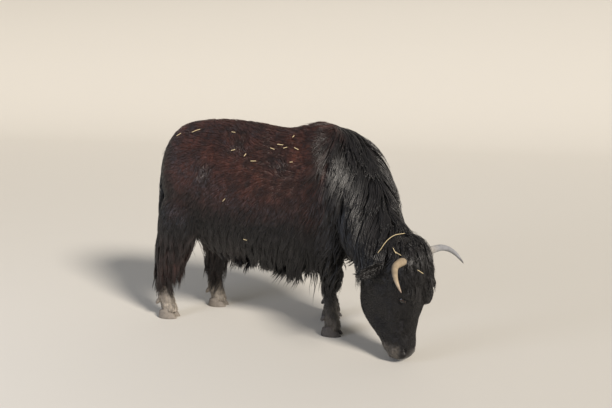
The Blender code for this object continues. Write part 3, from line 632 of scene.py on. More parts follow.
@dataclass
class Hide:
    """The whole skin under the coat, and the fields that the coat grows by."""

    anatomy: Anatomy
    voxel: float = 0.0058
    smoothing: int = 10
    triangles: int = 150000
    skin: bpy.types.Object | None = None
    form: bpy.types.Object | None = None
    zones: dict[str, np.ndarray] = field(default_factory=dict)

    def melt(self) -> bpy.types.Object:
        """Return all the flesh melted into one smooth closed form."""
        head = self.anatomy.head().loft("head")
        head.data.transform(HEAD_FRAME)
        forms = [head, self.anatomy.torso().loft("torso"), self.anatomy.neck().loft("neck")]
        forms += [self.anatomy.leg(name).loft(name, sides=24) for name in FEET]
        forms += [self.anatomy.tail().loft("tail", sides=20)] + self.anatomy.bulges()
        bm = bmesh.new()
        for form in forms:
            bm.from_mesh(form.data)
        drop(*forms)
        flesh = object_from_bmesh("flesh", bm)
        melt = flesh.modifiers.new("melt", "REMESH")
        melt.mode = "VOXEL"
        melt.voxel_size = self.voxel
        soften = flesh.modifiers.new("soften", "SMOOTH")
        soften.factor = 0.5
        soften.iterations = self.smoothing
        settle(flesh)
        thin = flesh.modifiers.new("thin", "DECIMATE")
        thin.ratio = min(1.0, self.triangles / (2 * len(flesh.data.polygons)))
        return settle(flesh)

    def local(self, points: np.ndarray) -> np.ndarray:
        """Return the points in the head's own frame."""
        turn = np.array(HEAD_FRAME.inverted())
        return points @ turn[:3, :3].T + turn[:3, 3]

    def nose_pad(self, head: np.ndarray) -> np.ndarray:
        """Return how far each point, in the head's frame, lies on the bare nose pad."""
        x, y, z = head.T
        edge = x + 0.52 * (z + 0.055)
        return (ramp(edge, 0.476, 0.486) * ramp(z, -0.150, -0.142)
                * ramp(-np.abs(y), -0.064, -0.056))

    def survey(self, points: np.ndarray) -> dict[str, np.ndarray]:
        """Work out how much each point belongs to each stretch of the hide.

        Args:
            points: The skin's points, laid out about the feet.

        Returns:
            A share from 0 to 1 for each point and each stretch.
        """
        x, y, z = points.T
        head = self.local(points)
        past_poll = 0.8 * (head[:, 0] + 0.05) + 0.6 * (head[:, 2] + 0.11)
        face = ramp(past_poll, -0.02, 0.03) * ramp(x, 0.52, 0.60)
        ears = np.zeros_like(x)
        for side in Side:
            ear = Ear(side)
            offset = head - np.array(ear.root)
            along = offset @ np.array(ear.out)
            away = np.linalg.norm(offset - along[:, None] * np.array(ear.out), axis=1)
            ears = np.maximum(ears, (along > 0.018) * (along < 0.20) * (away < 0.062))
        face = face * (1 - ears)
        neck = ramp(x, 0.40, 0.50) * (1 - face) * (1 - ears)
        tail = ramp(-x, 0.520, 0.534) * (np.abs(y) < 0.045)
        rest = (1 - face) * (1 - ears) * (1 - neck) * (1 - tail)
        shank = ramp(-z, -0.31, -0.25)
        skirt = ramp(-z, -0.62, -0.46)
        return {
            "face": face,
            "ears": ears,
            "neck": neck * (1 - shank),
            "tail": tail,
            "shank": (rest + neck) * shank,
            "skirt": rest * skirt * (1 - shank),
            "barrel": rest * (1 - skirt) * (1 - shank),
        }

    def relief(self, points: np.ndarray) -> np.ndarray:
        """Return how far the bones and muscles of the face stand out at each point."""
        head = self.local(points)
        rows = (
            # to the nose, to the side, to the forehead, spread, height
            (0.228, 0.104, -0.056, 0.034, -0.0110),
            (0.186, 0.088, -0.028, 0.030, 0.0120),
            (0.160, 0.110, -0.080, 0.034, 0.0060),
            (0.252, 0.104, -0.100, 0.020, 0.0060),
            (0.285, 0.094, -0.112, 0.024, 0.0110),
            (0.325, 0.084, -0.118, 0.022, 0.0100),
            (0.362, 0.078, -0.122, 0.020, 0.0060),
            (0.330, 0.074, -0.070, 0.026, -0.0090),
            (0.285, 0.082, -0.060, 0.024, -0.0060),
            (0.345, 0.070, -0.190, 0.040, -0.0120),
            (0.180, 0.122, -0.190, 0.062, 0.0090),
            (0.290, 0.046, -0.020, 0.030, 0.0040),
            (0.385, 0.064, -0.088, 0.016, 0.0060),
            (0.412, 0.064, -0.104, 0.014, -0.0060),
            (0.436, 0.066, -0.116, 0.015, 0.0055),
            (0.405, 0.056, -0.052, 0.022, -0.0055),
            (0.460, 0.064, -0.148, 0.016, -0.0050),
            (0.488, 0.066, -0.126, 0.020, 0.0070),
            (0.478, 0.050, -0.182, 0.020, 0.0040),
        )
        total = np.zeros(len(points))
        for x, y, z, spread, height in rows:
            for side in Side:
                away = np.linalg.norm(head - np.array((x, side.value * y, z)), axis=1)
                total += 1.3 * height * np.exp(-((away / spread) ** 2))
        return total

    def sink(self, flesh: bpy.types.Object) -> None:
        """Draw the skin in by the depth of the coat that will cover it."""
        points = coordinates(flesh.data)
        zones = self.survey(points)
        depths = {"face": 0.0030, "ears": 0.0, "neck": 0.008, "tail": 0.006,
                  "shank": 0.0035, "skirt": 0.010, "barrel": 0.009}
        depth = sum(zones[name] * value for name, value in depths.items())
        depth = depth - self.relief(points)
        moved = points - normals_of(flesh.data) * depth[:, None]
        flesh.data.vertices.foreach_set("co", moved.astype(np.float32).ravel())
        flesh.data.update()

    def build(self) -> bpy.types.Object:
        """Return the finished skin, with ears, eye sockets, nostrils and mouth."""
        flesh = self.melt()
        self.sink(flesh)
        face = Face(surface_of(flesh))
        self.form = object_from("form", flesh.data.copy())
        write_attribute(self.form.data, "face_out", normals_of(self.form.data))
        carve(flesh, "UNION", *(Ear(side).build() for side in Side))
        cuts = [ball("socket", face.eye_seat(side)[0], EYE_RADIUS + 0.0005) for side in Side]
        cuts += [face.nostril(side) for side in Side]
        carve(flesh, "DIFFERENCE", *cuts, face.mouth())
        bm = bmesh.new()
        bm.from_mesh(flesh.data)
        bmesh.ops.remove_doubles(bm, verts=bm.verts, dist=1e-5)
        bmesh.ops.triangulate(bm, faces=bm.faces)
        bm.to_mesh(flesh.data)
        bm.free()
        self.skin = flesh
        self.mark(coordinates(flesh.data))
        return flesh

    def mark(self, points: np.ndarray) -> None:
        """Store on the skin all that the coat and the colours are worked out from."""
        mesh = self.skin.data
        self.zones = self.survey(points)
        normals = normals_of(mesh)
        write_attribute(mesh, "face_out", normals)
        write_attribute(mesh, "lie", self.lie(points, normals))
        for name, values in self.growth(points).items():
            write_attribute(mesh, name, values)
        for name, values in self.markings(points, normals).items():
            write_attribute(mesh, name, values)

    def lie(self, points: np.ndarray, normals: np.ndarray) -> np.ndarray:
        """Return the way the hair lies at each point, along the surface."""
        x, y, z = points.T
        head = self.local(points)
        turn = np.array(HEAD_FRAME.to_3x3())
        low = ramp(-z, -1.05, -0.58)
        cheek = ramp(-head[:, 2], 0.050, 0.110) * (1 - ramp(head[:, 0], 0.40, 0.48))
        flat = np.zeros_like(x)
        back = np.stack([-1 + 0.45 * low, flat, -0.12 - 0.95 * low], 1)
        crest = np.interp(x, (0.44, 0.545, 0.625, 0.683, 0.732, 0.79, 0.87, 0.94),
                          (0.0, -0.005, -0.04, -0.10, -0.17, -0.245, -0.325, -0.385))
        parting = np.clip((y - crest) / 0.05, -1, 1)
        ways = {
            "barrel": back,
            "neck": np.stack([flat - 0.14, parting * 0.5, flat - 1.0], 1),
            "skirt": np.stack([flat - 0.12, flat, flat - 1.0], 1),
            "shank": np.stack([flat - 0.08, flat, flat - 1.0], 1),
            "tail": np.stack([flat - 0.05, y * 2.0, flat - 1.0], 1),
            "face": np.stack([1.0 - 0.75 * cheek, head[:, 1] * 2.2 * (1 - cheek), -1.0 * cheek],
                             1) @ turn.T,
        }
        outs = [np.array(HEAD_FRAME.to_3x3() @ Ear(side).out) for side in Side]
        ways["ears"] = np.where((head[:, 1] > 0)[:, None], outs[0], outs[1])
        way = sum(self.zones[name][:, None] * values for name, values in ways.items())
        way = unit(way - normals * np.sum(way * normals, 1, keepdims=True))
        for along, height, size, strength in WHORLS:
            away = np.hypot(x - along, z - height)
            angle = strength * np.exp(-((away / size) ** 2)) * np.sign(y) * self.zones["barrel"]
            across = np.cross(normals, way)
            way = way * np.cos(angle)[:, None] + across * np.sin(angle)[:, None]
        return unit(way)

    def growth(self, points: np.ndarray) -> dict[str, np.ndarray]:
        """Return the reach, lift, sag and cling of the hair at each point."""
        x, y, z = points.T
        head = self.local(points)
        forehead = ramp(-head[:, 0], -0.17, -0.11) * ramp(head[:, 2], -0.12, -0.04)
        cheek = ramp(-head[:, 2], 0.10, 0.20) * ramp(-head[:, 0], -0.34, -0.22)
        muzzle = ramp(head[:, 0], 0.34, 0.46)
        lips = ramp(head[:, 0], 0.45, 0.52)
        brisket = ramp(x, 0.38, 0.46) * ramp(-x, -0.66, -0.60) * ramp(-z, -0.60, -0.54)
        belly = ramp(-z, -0.44, -0.38)
        sleeve = ramp(x, 0.24, 0.38) * ramp(-z, -0.86, -0.60)
        haunch = ramp(-x, 0.20, 0.32) * ramp(-z, -0.80, -0.58)
        throat = ramp(-z, -0.62, -0.50)
        elbow = ramp(x, 0.13, 0.30) * ramp(-x, -0.58, -0.50)
        reach = {
            "barrel": 0.042 + 0.012 * ramp(-z, -0.9, -0.6) + 0.050 * ramp(x, 0.34, 0.44)
            + 0.060 * sleeve + 0.045 * haunch,
            "neck": 0.210 - 0.100 * throat,
            "skirt": 0.095 + 0.040 * ramp(-z, -0.54, -0.42) + 0.012 * belly + 0.035 * elbow,
            "shank": 0.018 + 0.010 * ramp(-z, -0.10, -0.07),
            "tail": 0.060 + 0.130 * ramp(-z, -0.80, -0.45),
            "face": 0.026 - 0.012 * muzzle - 0.007 * lips + 0.008 * cheek + 0.024 * forehead,
            "ears": 0.032 + 0 * x,
        }
        lift = {"barrel": 0.0075, "neck": 0.020, "skirt": 0.016, "shank": 0.004,
                "tail": 0.010, "face": 0.0022, "ears": 0.006}
        sag = {"barrel": 0.04, "neck": 0.10, "skirt": 0.35, "shank": 0.1,
               "tail": 0.2, "face": 0.0, "ears": 0.15}
        cling = {"barrel": 1.0, "neck": 0.85 - 0.80 * throat, "skirt": 0.05, "shank": 0.9,
                 "tail": 0.0, "face": 0.95, "ears": 0.5}
        near_eye = np.ones_like(x)
        for side in Side:
            seat = np.array((EYE_PLACE.x, side.value * EYE_PLACE.y, EYE_PLACE.z))
            near_eye *= 0.40 + 0.60 * ramp(np.linalg.norm(head - seat, axis=1), 0.024, 0.044)
        reach["face"] = reach["face"] * near_eye
        reach["skirt"] = reach["skirt"] * (1 - 0.62 * brisket)
        reach["neck"] = reach["neck"] * (1 - 0.50 * brisket)
        length = sum(self.zones[name] * values for name, values in reach.items())
        fields = {"reach": np.minimum(length, 0.5 * z)}
        for title, table in (("lift", lift), ("sag", sag), ("cling", cling)):
            fields[title] = sum(self.zones[name] * value for name, value in table.items())
        fields["lift"] = fields["lift"] + 0.010 * forehead * self.zones["face"]
        return fields

    def markings(self, points: np.ndarray, normals: np.ndarray) -> dict[str, np.ndarray]:
        """Return how bleached, how dusty and how bare the hide is at each point, with painted
        shade: black hair at each whorl's middle and less dust on the forelegs.
        """
        x, y, z = points.T
        head = self.local(points)
        saddle = ramp(z, 0.58, 0.88) * ramp(x, -0.50, -0.36) * ramp(-x, -0.50, -0.40)
        tufts = ramp(-z, -0.60, -0.40) * 0.30 * ramp(-x, -0.10, 0.20)
        lip = ramp(head[:, 0], 0.440, 0.475) * ramp(-head[:, 2], 0.080, 0.105)
        pad = self.nose_pad(head)
        # Painted shade: the brown is taken out round the middle of each whorl, so the hair there
        # is drawn black like the shade in the turned hair.
        for along, height, size, _ in WHORLS:
            away = np.hypot(x - along, z - height)
            saddle = saddle * (1 - 0.75 * np.exp(-((away / size) ** 2)))
        # Painted shade: the dust is fainter on the forelegs, whose hair is drawn darker as if in
        # the head's shade.
        hind = 0.30 + 0.55 * ramp(-x, -0.1, 0.1)
        dusty = ramp(-z, -0.24, -0.08) * (1 - self.zones["face"]) * hind
        return {
            "bleach": np.clip(saddle + tufts, 0, 1) * (1 - self.zones["face"]),
            "dust": np.clip(dusty + 0.30 * lip * (1 - pad) * self.zones["face"], 0, 1),
            "bare": pad * self.zones["face"],
        }

    def cover(self, zone: Zone, points: np.ndarray) -> np.ndarray:
        """Return how densely one coat grows at each point.

        Args:
            zone: The stretch of hide that the coat belongs to.
            points: The skin's points, laid out about the feet.

        Returns:
            A share from 0 to 1 for each point.
        """
        x, y, z = points.T
        head = self.local(points)
        body = np.minimum(self.zones["barrel"] * 1.6, 1.0)
        long = np.minimum(self.zones["skirt"] * 1.6, 1.0)
        eyes = np.ones_like(x)
        for side in Side:
            seat = np.array((EYE_PLACE.x, side.value * EYE_PLACE.y, EYE_PLACE.z))
            nostril = np.array((0.488, side.value * 0.054, -0.067))
            eyes = eyes * ramp(np.linalg.norm(head - seat, axis=1), 0.022, 0.027)
            eyes = eyes * ramp(np.linalg.norm(head - nostril, axis=1), 0.015, 0.020)
        top = 0.96
        parting = np.ones_like(x)
        muzzle = np.flatnonzero(head[:, 0] > 0.38)
        lips = np.array([(point.x, point.z) for point in mouth_line()])
        away = np.linalg.norm(head[muzzle][:, None, ::2] - lips, axis=2).min(axis=1)
        parting[muzzle] = ramp(away, 0.0035, 0.0075)
        shares = {
            Zone.FLANK_RIGHT: body * (y <= 0) * (z < top) * (x > -0.34),
            Zone.FLANK_LEFT: body * (y > 0) * (z < top) * (x > -0.34),
            Zone.BACK: body * (z >= top) * (x > -0.34),
            Zone.RUMP: body * (x <= -0.34),
            Zone.NECK: self.zones["neck"],
            Zone.SKIRT_RIGHT: long * (y <= 0),
            Zone.SKIRT_LEFT: long * (y > 0),
            Zone.FACE: self.zones["face"] * eyes * parting
            * (1 - self.nose_pad(head)),
            Zone.FORELOCK: self.zones["face"] * np.maximum(
                ramp(-head[:, 0], -0.16, -0.12) * ramp(head[:, 2], -0.10, -0.05)
                * (1 - ramp(np.abs(head[:, 1]), 0.050, 0.068) * ramp(head[:, 0], 0.05, 0.09)),
                ramp(-head[:, 0], -0.24, -0.20) * ramp(head[:, 2], -0.015, 0.010)),
            Zone.SHANKS: self.zones["shank"] * ramp(z, 0.050, 0.056),
            Zone.TAIL: self.zones["tail"],
            Zone.EARS: self.zones["ears"],
        }
        return shares[zone].astype(float)


def mouth_line() -> list[Vector]:
    """Return the line between the lips, from one corner to the other."""
    rows = ((0.420, 0.085, -0.196), (0.450, 0.085, -0.176), (0.480, 0.085, -0.162),
            (0.510, 0.075, -0.152), (0.545, 0.045, -0.144), (0.560, 0.000, -0.142))
    half = [Vector(row) for row in rows]
    points = half + [Vector((p.x, -p.y, p.z)) for p in half[-2::-1]]
    return [spline(points, k / 4) for k in range(4 * (len(points) - 1) + 1)]


@dataclass
class Face:
    """What is cut into the face, and the lids, set on the skin's surface."""

    surface: BVHTree

    def eye_seat(self, side: Side) -> tuple[Vector, Vector]:
        """Return the middle of an eyeball and the way it looks."""
        guess = HEAD_FRAME @ Vector((EYE_PLACE.x, side.value * EYE_PLACE.y, EYE_PLACE.z))
        near, outward, _, _ = self.surface.find_nearest(guess)
        return near - outward * EYE_RADIUS * 0.42, outward

    def nostril(self, side: Side) -> bpy.types.Object:
        """Return the slanting plug that hollows out a nostril."""
        rows = ((0.506, 0.063, -0.056), (0.482, 0.050, -0.071), (0.446, 0.036, -0.088))
        path = [HEAD_FRAME @ Vector((x, side.value * y, z)) for x, y, z in rows]
        return tapered("nostril", path, (0.0110, 0.0105, 0.0050), 18)

    def mouth(self) -> bpy.types.Object:
        """Return a thin bent rod whose half-sunk path draws the mouth."""
        path = [self.surface.find_nearest(HEAD_FRAME @ point)[0] for point in mouth_line()]
        radii = [0.0012] + [0.0036] * (len(path) - 2) + [0.0012]
        return tapered("mouth", path, radii, 8)

    def lids(self, side: Side) -> bpy.types.Object:
        """Return the lids as one soft ring around an almond opening of the eyeball."""
        centre, outward = self.eye_seat(side)
        along = HEAD_FRAME.to_3x3() @ Vector((1.0, 0.0, -0.22))
        along = (along - outward * along.dot(outward)).normalized()
        up = outward.cross(along) * side.value
        profile = (
            # share from the opening to the outer rim, height over the ball or the skin
            (0.00, -0.0030), (0.00, 0.0010), (0.06, 0.0024), (0.16, 0.0026), (0.30, 0.0012),
            (0.45, 0.0006), (0.62, 0.0014), (0.80, 0.0004), (1.00, -0.0035), (0.60, -0.0070),
        )
        rings = []
        steps = 48
        for k in range(steps):
            turn = math.tau * k / steps
            flat = math.cos(turn)
            rise = math.sin(turn)
            height = 0.0128 if rise > 0 else 0.0104
            inner = (0.0184 * flat, height * rise * (1.0 - 0.35 * flat * flat))
            outer = (0.0285 * flat, 0.0215 * rise)
            ring = []
            for share, over in profile:
                spot = [a + (b - a) * share for a, b in zip(inner, outer)]
                beside = centre + along * spot[0] + up * spot[1]
                deep = EYE_RADIUS ** 2 - spot[0] ** 2 - spot[1] ** 2
                ball_point = beside + outward * math.sqrt(max(deep, 0.0))
                skin_point = self.surface.find_nearest(beside + outward * EYE_RADIUS)[0]
                blend = min(max((share - 0.15) / 0.65, 0.0), 1.0)
                blend = blend * blend * (3 - 2 * blend)
                if deep <= 0.0:
                    blend = 1.0
                ring.append(ball_point.lerp(skin_point, blend) + outward * over)
            rings.append(ring)
        bm = bmesh.new()
        rows = [[bm.verts.new(spot) for spot in ring] for ring in rings]
        count = len(profile)
        for k in range(steps):
            here, following = rows[k], rows[(k + 1) % steps]
            for i in range(count):
                n = (i + 1) % count
                bm.faces.new((here[i], here[n], following[n], following[i]))
        bmesh.ops.recalc_face_normals(bm, faces=bm.faces)
        return object_from_bmesh("lids", bm)


# Finishes


@dataclass(frozen=True)
class HairFinish:
    """Coarse black keratin hair: near-black roots, brown where the sun has bleached it.

    The gloss comes from many smooth strands side by side, so it is broad and soft, and
    it follows the form under the coat: evenness is how far it does.
    """

    name: str = "yak_hair"
    black: str = "110f10"
    brown: str = "3d211a"
    dust: str = "8d857b"
    roughness: float = 0.38
    strand: float = 0.0012
    evenness: float = 0.40

    def colour(self, tree: bpy.types.NodeTree) -> bpy.types.NodeSocket:
        """Add the colours that skin and coat share, and return their socket."""
        kind = {"attribute_type": "GEOMETRY"}
        read = {
            name: add_node(tree, "ShaderNodeAttribute", kind | {"attribute_name": name}, {})
            for name in ("bleach", "dust", "tone")
        }
        where = add_node(tree, "ShaderNodeTexCoord", {}, {}).outputs["Object"]
        blotches = add_node(
            tree, "ShaderNodeTexNoise", {}, {"Vector": where, "Scale": 9.0, "Detail": 3.0}
        ).outputs[0]
        patchy = add_node(
            tree, "ShaderNodeMapRange", {},
            {0: blotches, 1: 0.35, 2: 0.70, 3: 0.45, 4: 1.15},
        ).outputs[0]
        clouds = add_node(
            tree, "ShaderNodeTexNoise", {}, {"Vector": where, "Scale": 22.0, "Detail": 2.0}
        ).outputs[0]
        uneven = add_node(
            tree, "ShaderNodeMapRange", {}, {0: clouds, 1: 0.35, 2: 0.65, 3: 0.70, 4: 1.35}
        ).outputs[0]
        # The brown share carries painted shade: it is taken out at the middle of each whorl.
        share = add_node(
            tree, "ShaderNodeMath", {"operation": "MULTIPLY", "use_clamp": True},
            {0: patchy, 1: read["bleach"].outputs["Fac"]},
        ).outputs[0]
        mixed = add_node(
            tree, "ShaderNodeMix", {"data_type": "RGBA"},
            {"Factor": share, "A": linear(self.black), "B": linear(self.brown)},
        )
        dusty = add_node(
            tree, "ShaderNodeMix", {"data_type": "RGBA"},
            {"Factor": read["dust"].outputs["Fac"], "A": mixed.outputs[2],
             "B": linear(self.dust)},
        )
        tone = add_node(
            tree, "ShaderNodeMapRange", {},
            {0: read["tone"].outputs["Fac"], 1: -1.0, 2: 1.0, 3: 0.55, 4: 1.60},
        ).outputs[0]
        tone = add_node(
            tree, "ShaderNodeMath", {"operation": "MULTIPLY"}, {0: tone, 1: uneven}
        ).outputs[0]
        return add_node(
            tree, "ShaderNodeVectorMath", {"operation": "SCALE"},
            {0: dusty.outputs[2], "Scale": tone},
        ).outputs[0]

    def build(self) -> bpy.types.Material:
        """Return the hair's material."""
        material = bpy.data.materials.new(self.name)
        material.use_nodes = True
        tree = material.node_tree
        shader = tree.nodes["Principled BSDF"]
        shader.inputs["Roughness"].default_value = self.roughness
        shader.inputs["IOR"].default_value = 1.55
        shader.inputs["Specular IOR Level"].default_value = 0.42
        shader.inputs["Sheen Weight"].default_value = 0.05
        shader.inputs["Sheen Roughness"].default_value = 0.45
        tree.links.new(self.colour(tree), shader.inputs["Base Color"])
        where = add_node(tree, "ShaderNodeTexCoord", {}, {}).outputs["Object"]
        strands = add_node(
            tree, "ShaderNodeTexNoise", {},
            {"Vector": where, "Scale": 1.0 / (self.strand * 6), "Detail": 2.0},
        ).outputs[0]
        bump = add_node(
            tree, "ShaderNodeBump", {}, {"Strength": 0.35, "Distance": 0.0015, "Height": strands}
        )
        outward = add_node(
            tree, "ShaderNodeAttribute",
            {"attribute_type": "GEOMETRY", "attribute_name": "face_out"}, {},
        ).outputs["Vector"]
        blend = add_node(
            tree, "ShaderNodeMix", {"data_type": "VECTOR"},
            {"Factor": self.evenness, "A": bump.outputs[0], "B": outward},
        )
        facing = add_node(tree, VECTOR, {"operation": "NORMALIZE"}, {0: blend.outputs[1]})
        tree.links.new(facing.outputs[0], shader.inputs["Normal"])
        return material


@dataclass(frozen=True)
class SkinFinish(HairFinish):
    """Hide under the hair, with the hair's colours: it only shows in the partings."""

    name: str = "yak_hide"
    roughness: float = 0.62
    wet: str = "100d0e"

    def build(self) -> bpy.types.Material:
        """Return the hide's material, bare, dark and moist on the nose."""
        material = super().build()
        tree = material.node_tree
        shader = tree.nodes["Principled BSDF"]
        shader.inputs["Specular IOR Level"].default_value = 0.25
        hair_colour = shader.inputs["Base Color"].links[0].from_socket
        bare = add_node(
            tree, "ShaderNodeAttribute",
            {"attribute_type": "GEOMETRY", "attribute_name": "bare"}, {},
        ).outputs["Fac"]
        mixed = add_node(
            tree, "ShaderNodeMix", {"data_type": "RGBA"},
            {"Factor": bare, "A": hair_colour, "B": linear(self.wet)},
        )
        tree.links.new(mixed.outputs[2], shader.inputs["Base Color"])
        gloss = add_node(
            tree, "ShaderNodeMapRange", {}, {0: bare, 3: self.roughness, 4: 0.28}
        ).outputs[0]
        tree.links.new(gloss, shader.inputs["Roughness"])
        return material


@dataclass(frozen=True)
class HornFinish:
    """Polished keratin horn, streaked along its length and paler at the root."""

    name: str
    body: str
    pale: str
    tip: str
    roughness: float = 0.40

    def build(self) -> bpy.types.Material:
        """Return the horn's material, which reads the share along the horn."""
        material = bpy.data.materials.new(self.name)
        material.use_nodes = True
        tree = material.node_tree
        shader = tree.nodes["Principled BSDF"]
        shader.inputs["Roughness"].default_value = self.roughness
        shader.inputs["IOR"].default_value = 1.55
        along = add_node(
            tree, "ShaderNodeAttribute",
            {"attribute_type": "GEOMETRY", "attribute_name": "along"}, {},
        ).outputs["Fac"]
        where = add_node(tree, "ShaderNodeTexCoord", {}, {}).outputs["Object"]
        mottle = add_node(
            tree, "ShaderNodeTexNoise", {}, {"Vector": where, "Scale": 60.0, "Detail": 4.0}
        ).outputs[0]
        bands = add_node(
            tree, "ShaderNodeValToRGB", {}, {0: along}
        )
        ramp_colours = bands.color_ramp
        ramp_colours.elements[0].color = linear(self.pale)
        ramp_colours.elements[1].color = linear(self.tip)
        ramp_colours.elements.new(0.35).color = linear(self.body)
        ramp_colours.elements.new(0.78).color = linear(self.body)
        shade = add_node(
            tree, "ShaderNodeMapRange", {}, {0: mottle, 1: 0.3, 2: 0.7, 3: 0.78, 4: 1.12}
        ).outputs[0]
        colour = add_node(
            tree, "ShaderNodeVectorMath", {"operation": "SCALE"},
            {0: bands.outputs[0], "Scale": shade},
        ).outputs[0]
        tree.links.new(colour, shader.inputs["Base Color"])
        bump = add_node(
            tree, "ShaderNodeBump", {}, {"Strength": 0.3, "Distance": 0.0008, "Height": mottle}
        )
        tree.links.new(bump.outputs[0], shader.inputs["Normal"])
        return material


@dataclass(frozen=True)
class HoofFinish:
    """Dull hoof horn under dry dust, paler where the dust lies thicker."""

    name: str
    grey: str
    dust: str
    roughness: float = 0.66
    ring: float = 0.004

    def build(self) -> bpy.types.Material:
        """Return the hoof's material, with growth rings level with the ground."""
        material = bpy.data.materials.new(self.name)
        material.use_nodes = True
        tree = material.node_tree
        shader = tree.nodes["Principled BSDF"]
        shader.inputs["Roughness"].default_value = self.roughness
        where = add_node(tree, "ShaderNodeTexCoord", {}, {}).outputs["Object"]
        rings = add_node(
            tree, "ShaderNodeTexWave", {"bands_direction": "Z"},
            {"Vector": where, "Scale": 0.05 / self.ring, "Distortion": 1.2, "Detail": 2.0},
        ).outputs[0]
        mottle = add_node(
            tree, "ShaderNodeTexNoise", {}, {"Vector": where, "Scale": 70.0, "Detail": 5.0}
        ).outputs[0]
        mixed = add_node(
            tree, "ShaderNodeMix", {"data_type": "RGBA"},
            {"Factor": mottle, "A": linear(self.grey), "B": linear(self.dust)},
        )
        tree.links.new(mixed.outputs[2], shader.inputs["Base Color"])
        bump = add_node(
            tree, "ShaderNodeBump", {}, {"Strength": 0.5, "Distance": 0.0010, "Height": rings}
        )
        tree.links.new(bump.outputs[0], shader.inputs["Normal"])
        return material


@dataclass(frozen=True)
class EyeFinish:
    """A dark brown iris round a black pupil, under a wet, clear cornea."""

    pupil: str = "050404"
    iris: str = "2c170d"
    rim: str = "0c0706"
    roughness: float = 0.08

    def build(self) -> bpy.types.Material:
        """Return the eye's material, which reads how far each point is off the axis."""
        material = bpy.data.materials.new("eye_cornea_over_brown_iris")
        material.use_nodes = True
        tree = material.node_tree
        shader = tree.nodes["Principled BSDF"]
        off_axis = add_node(
            tree, "ShaderNodeAttribute",
            {"attribute_type": "GEOMETRY", "attribute_name": "off_axis"}, {},
        ).outputs["Fac"]
        rings = add_node(tree, "ShaderNodeValToRGB", {}, {0: off_axis})
        colours = rings.color_ramp.elements
        colours[0].color = linear(self.pupil)
        colours[1].color = linear(self.rim)
        for where, code in ((0.26, self.pupil), (0.32, self.iris), (0.56, self.iris)):
            colours.new(where).color = linear(code)
        tree.links.new(rings.outputs[0], shader.inputs["Base Color"])
        shader.inputs["Roughness"].default_value = self.roughness
        shader.inputs["IOR"].default_value = 1.376
        shader.inputs["Coat Weight"].default_value = 0.8
        shader.inputs["Coat Roughness"].default_value = 0.02
        return material


# The coat


@dataclass(frozen=True)
class CoatCut:
    """How the tufts of one stretch of hide are cut, and how they gather into locks."""

    zone: Zone
    spacing: float
    width: float
    seed: int
    slot: Slot = Slot.COAT_BLACK
    rings: tuple[float, ...] = (0.0, 0.35, 0.72)
    longer: float = 1.0
    yaw: float = 0.25
    wave: float = 0.0
    lock: float = 0.022
    pull: float = 0.5


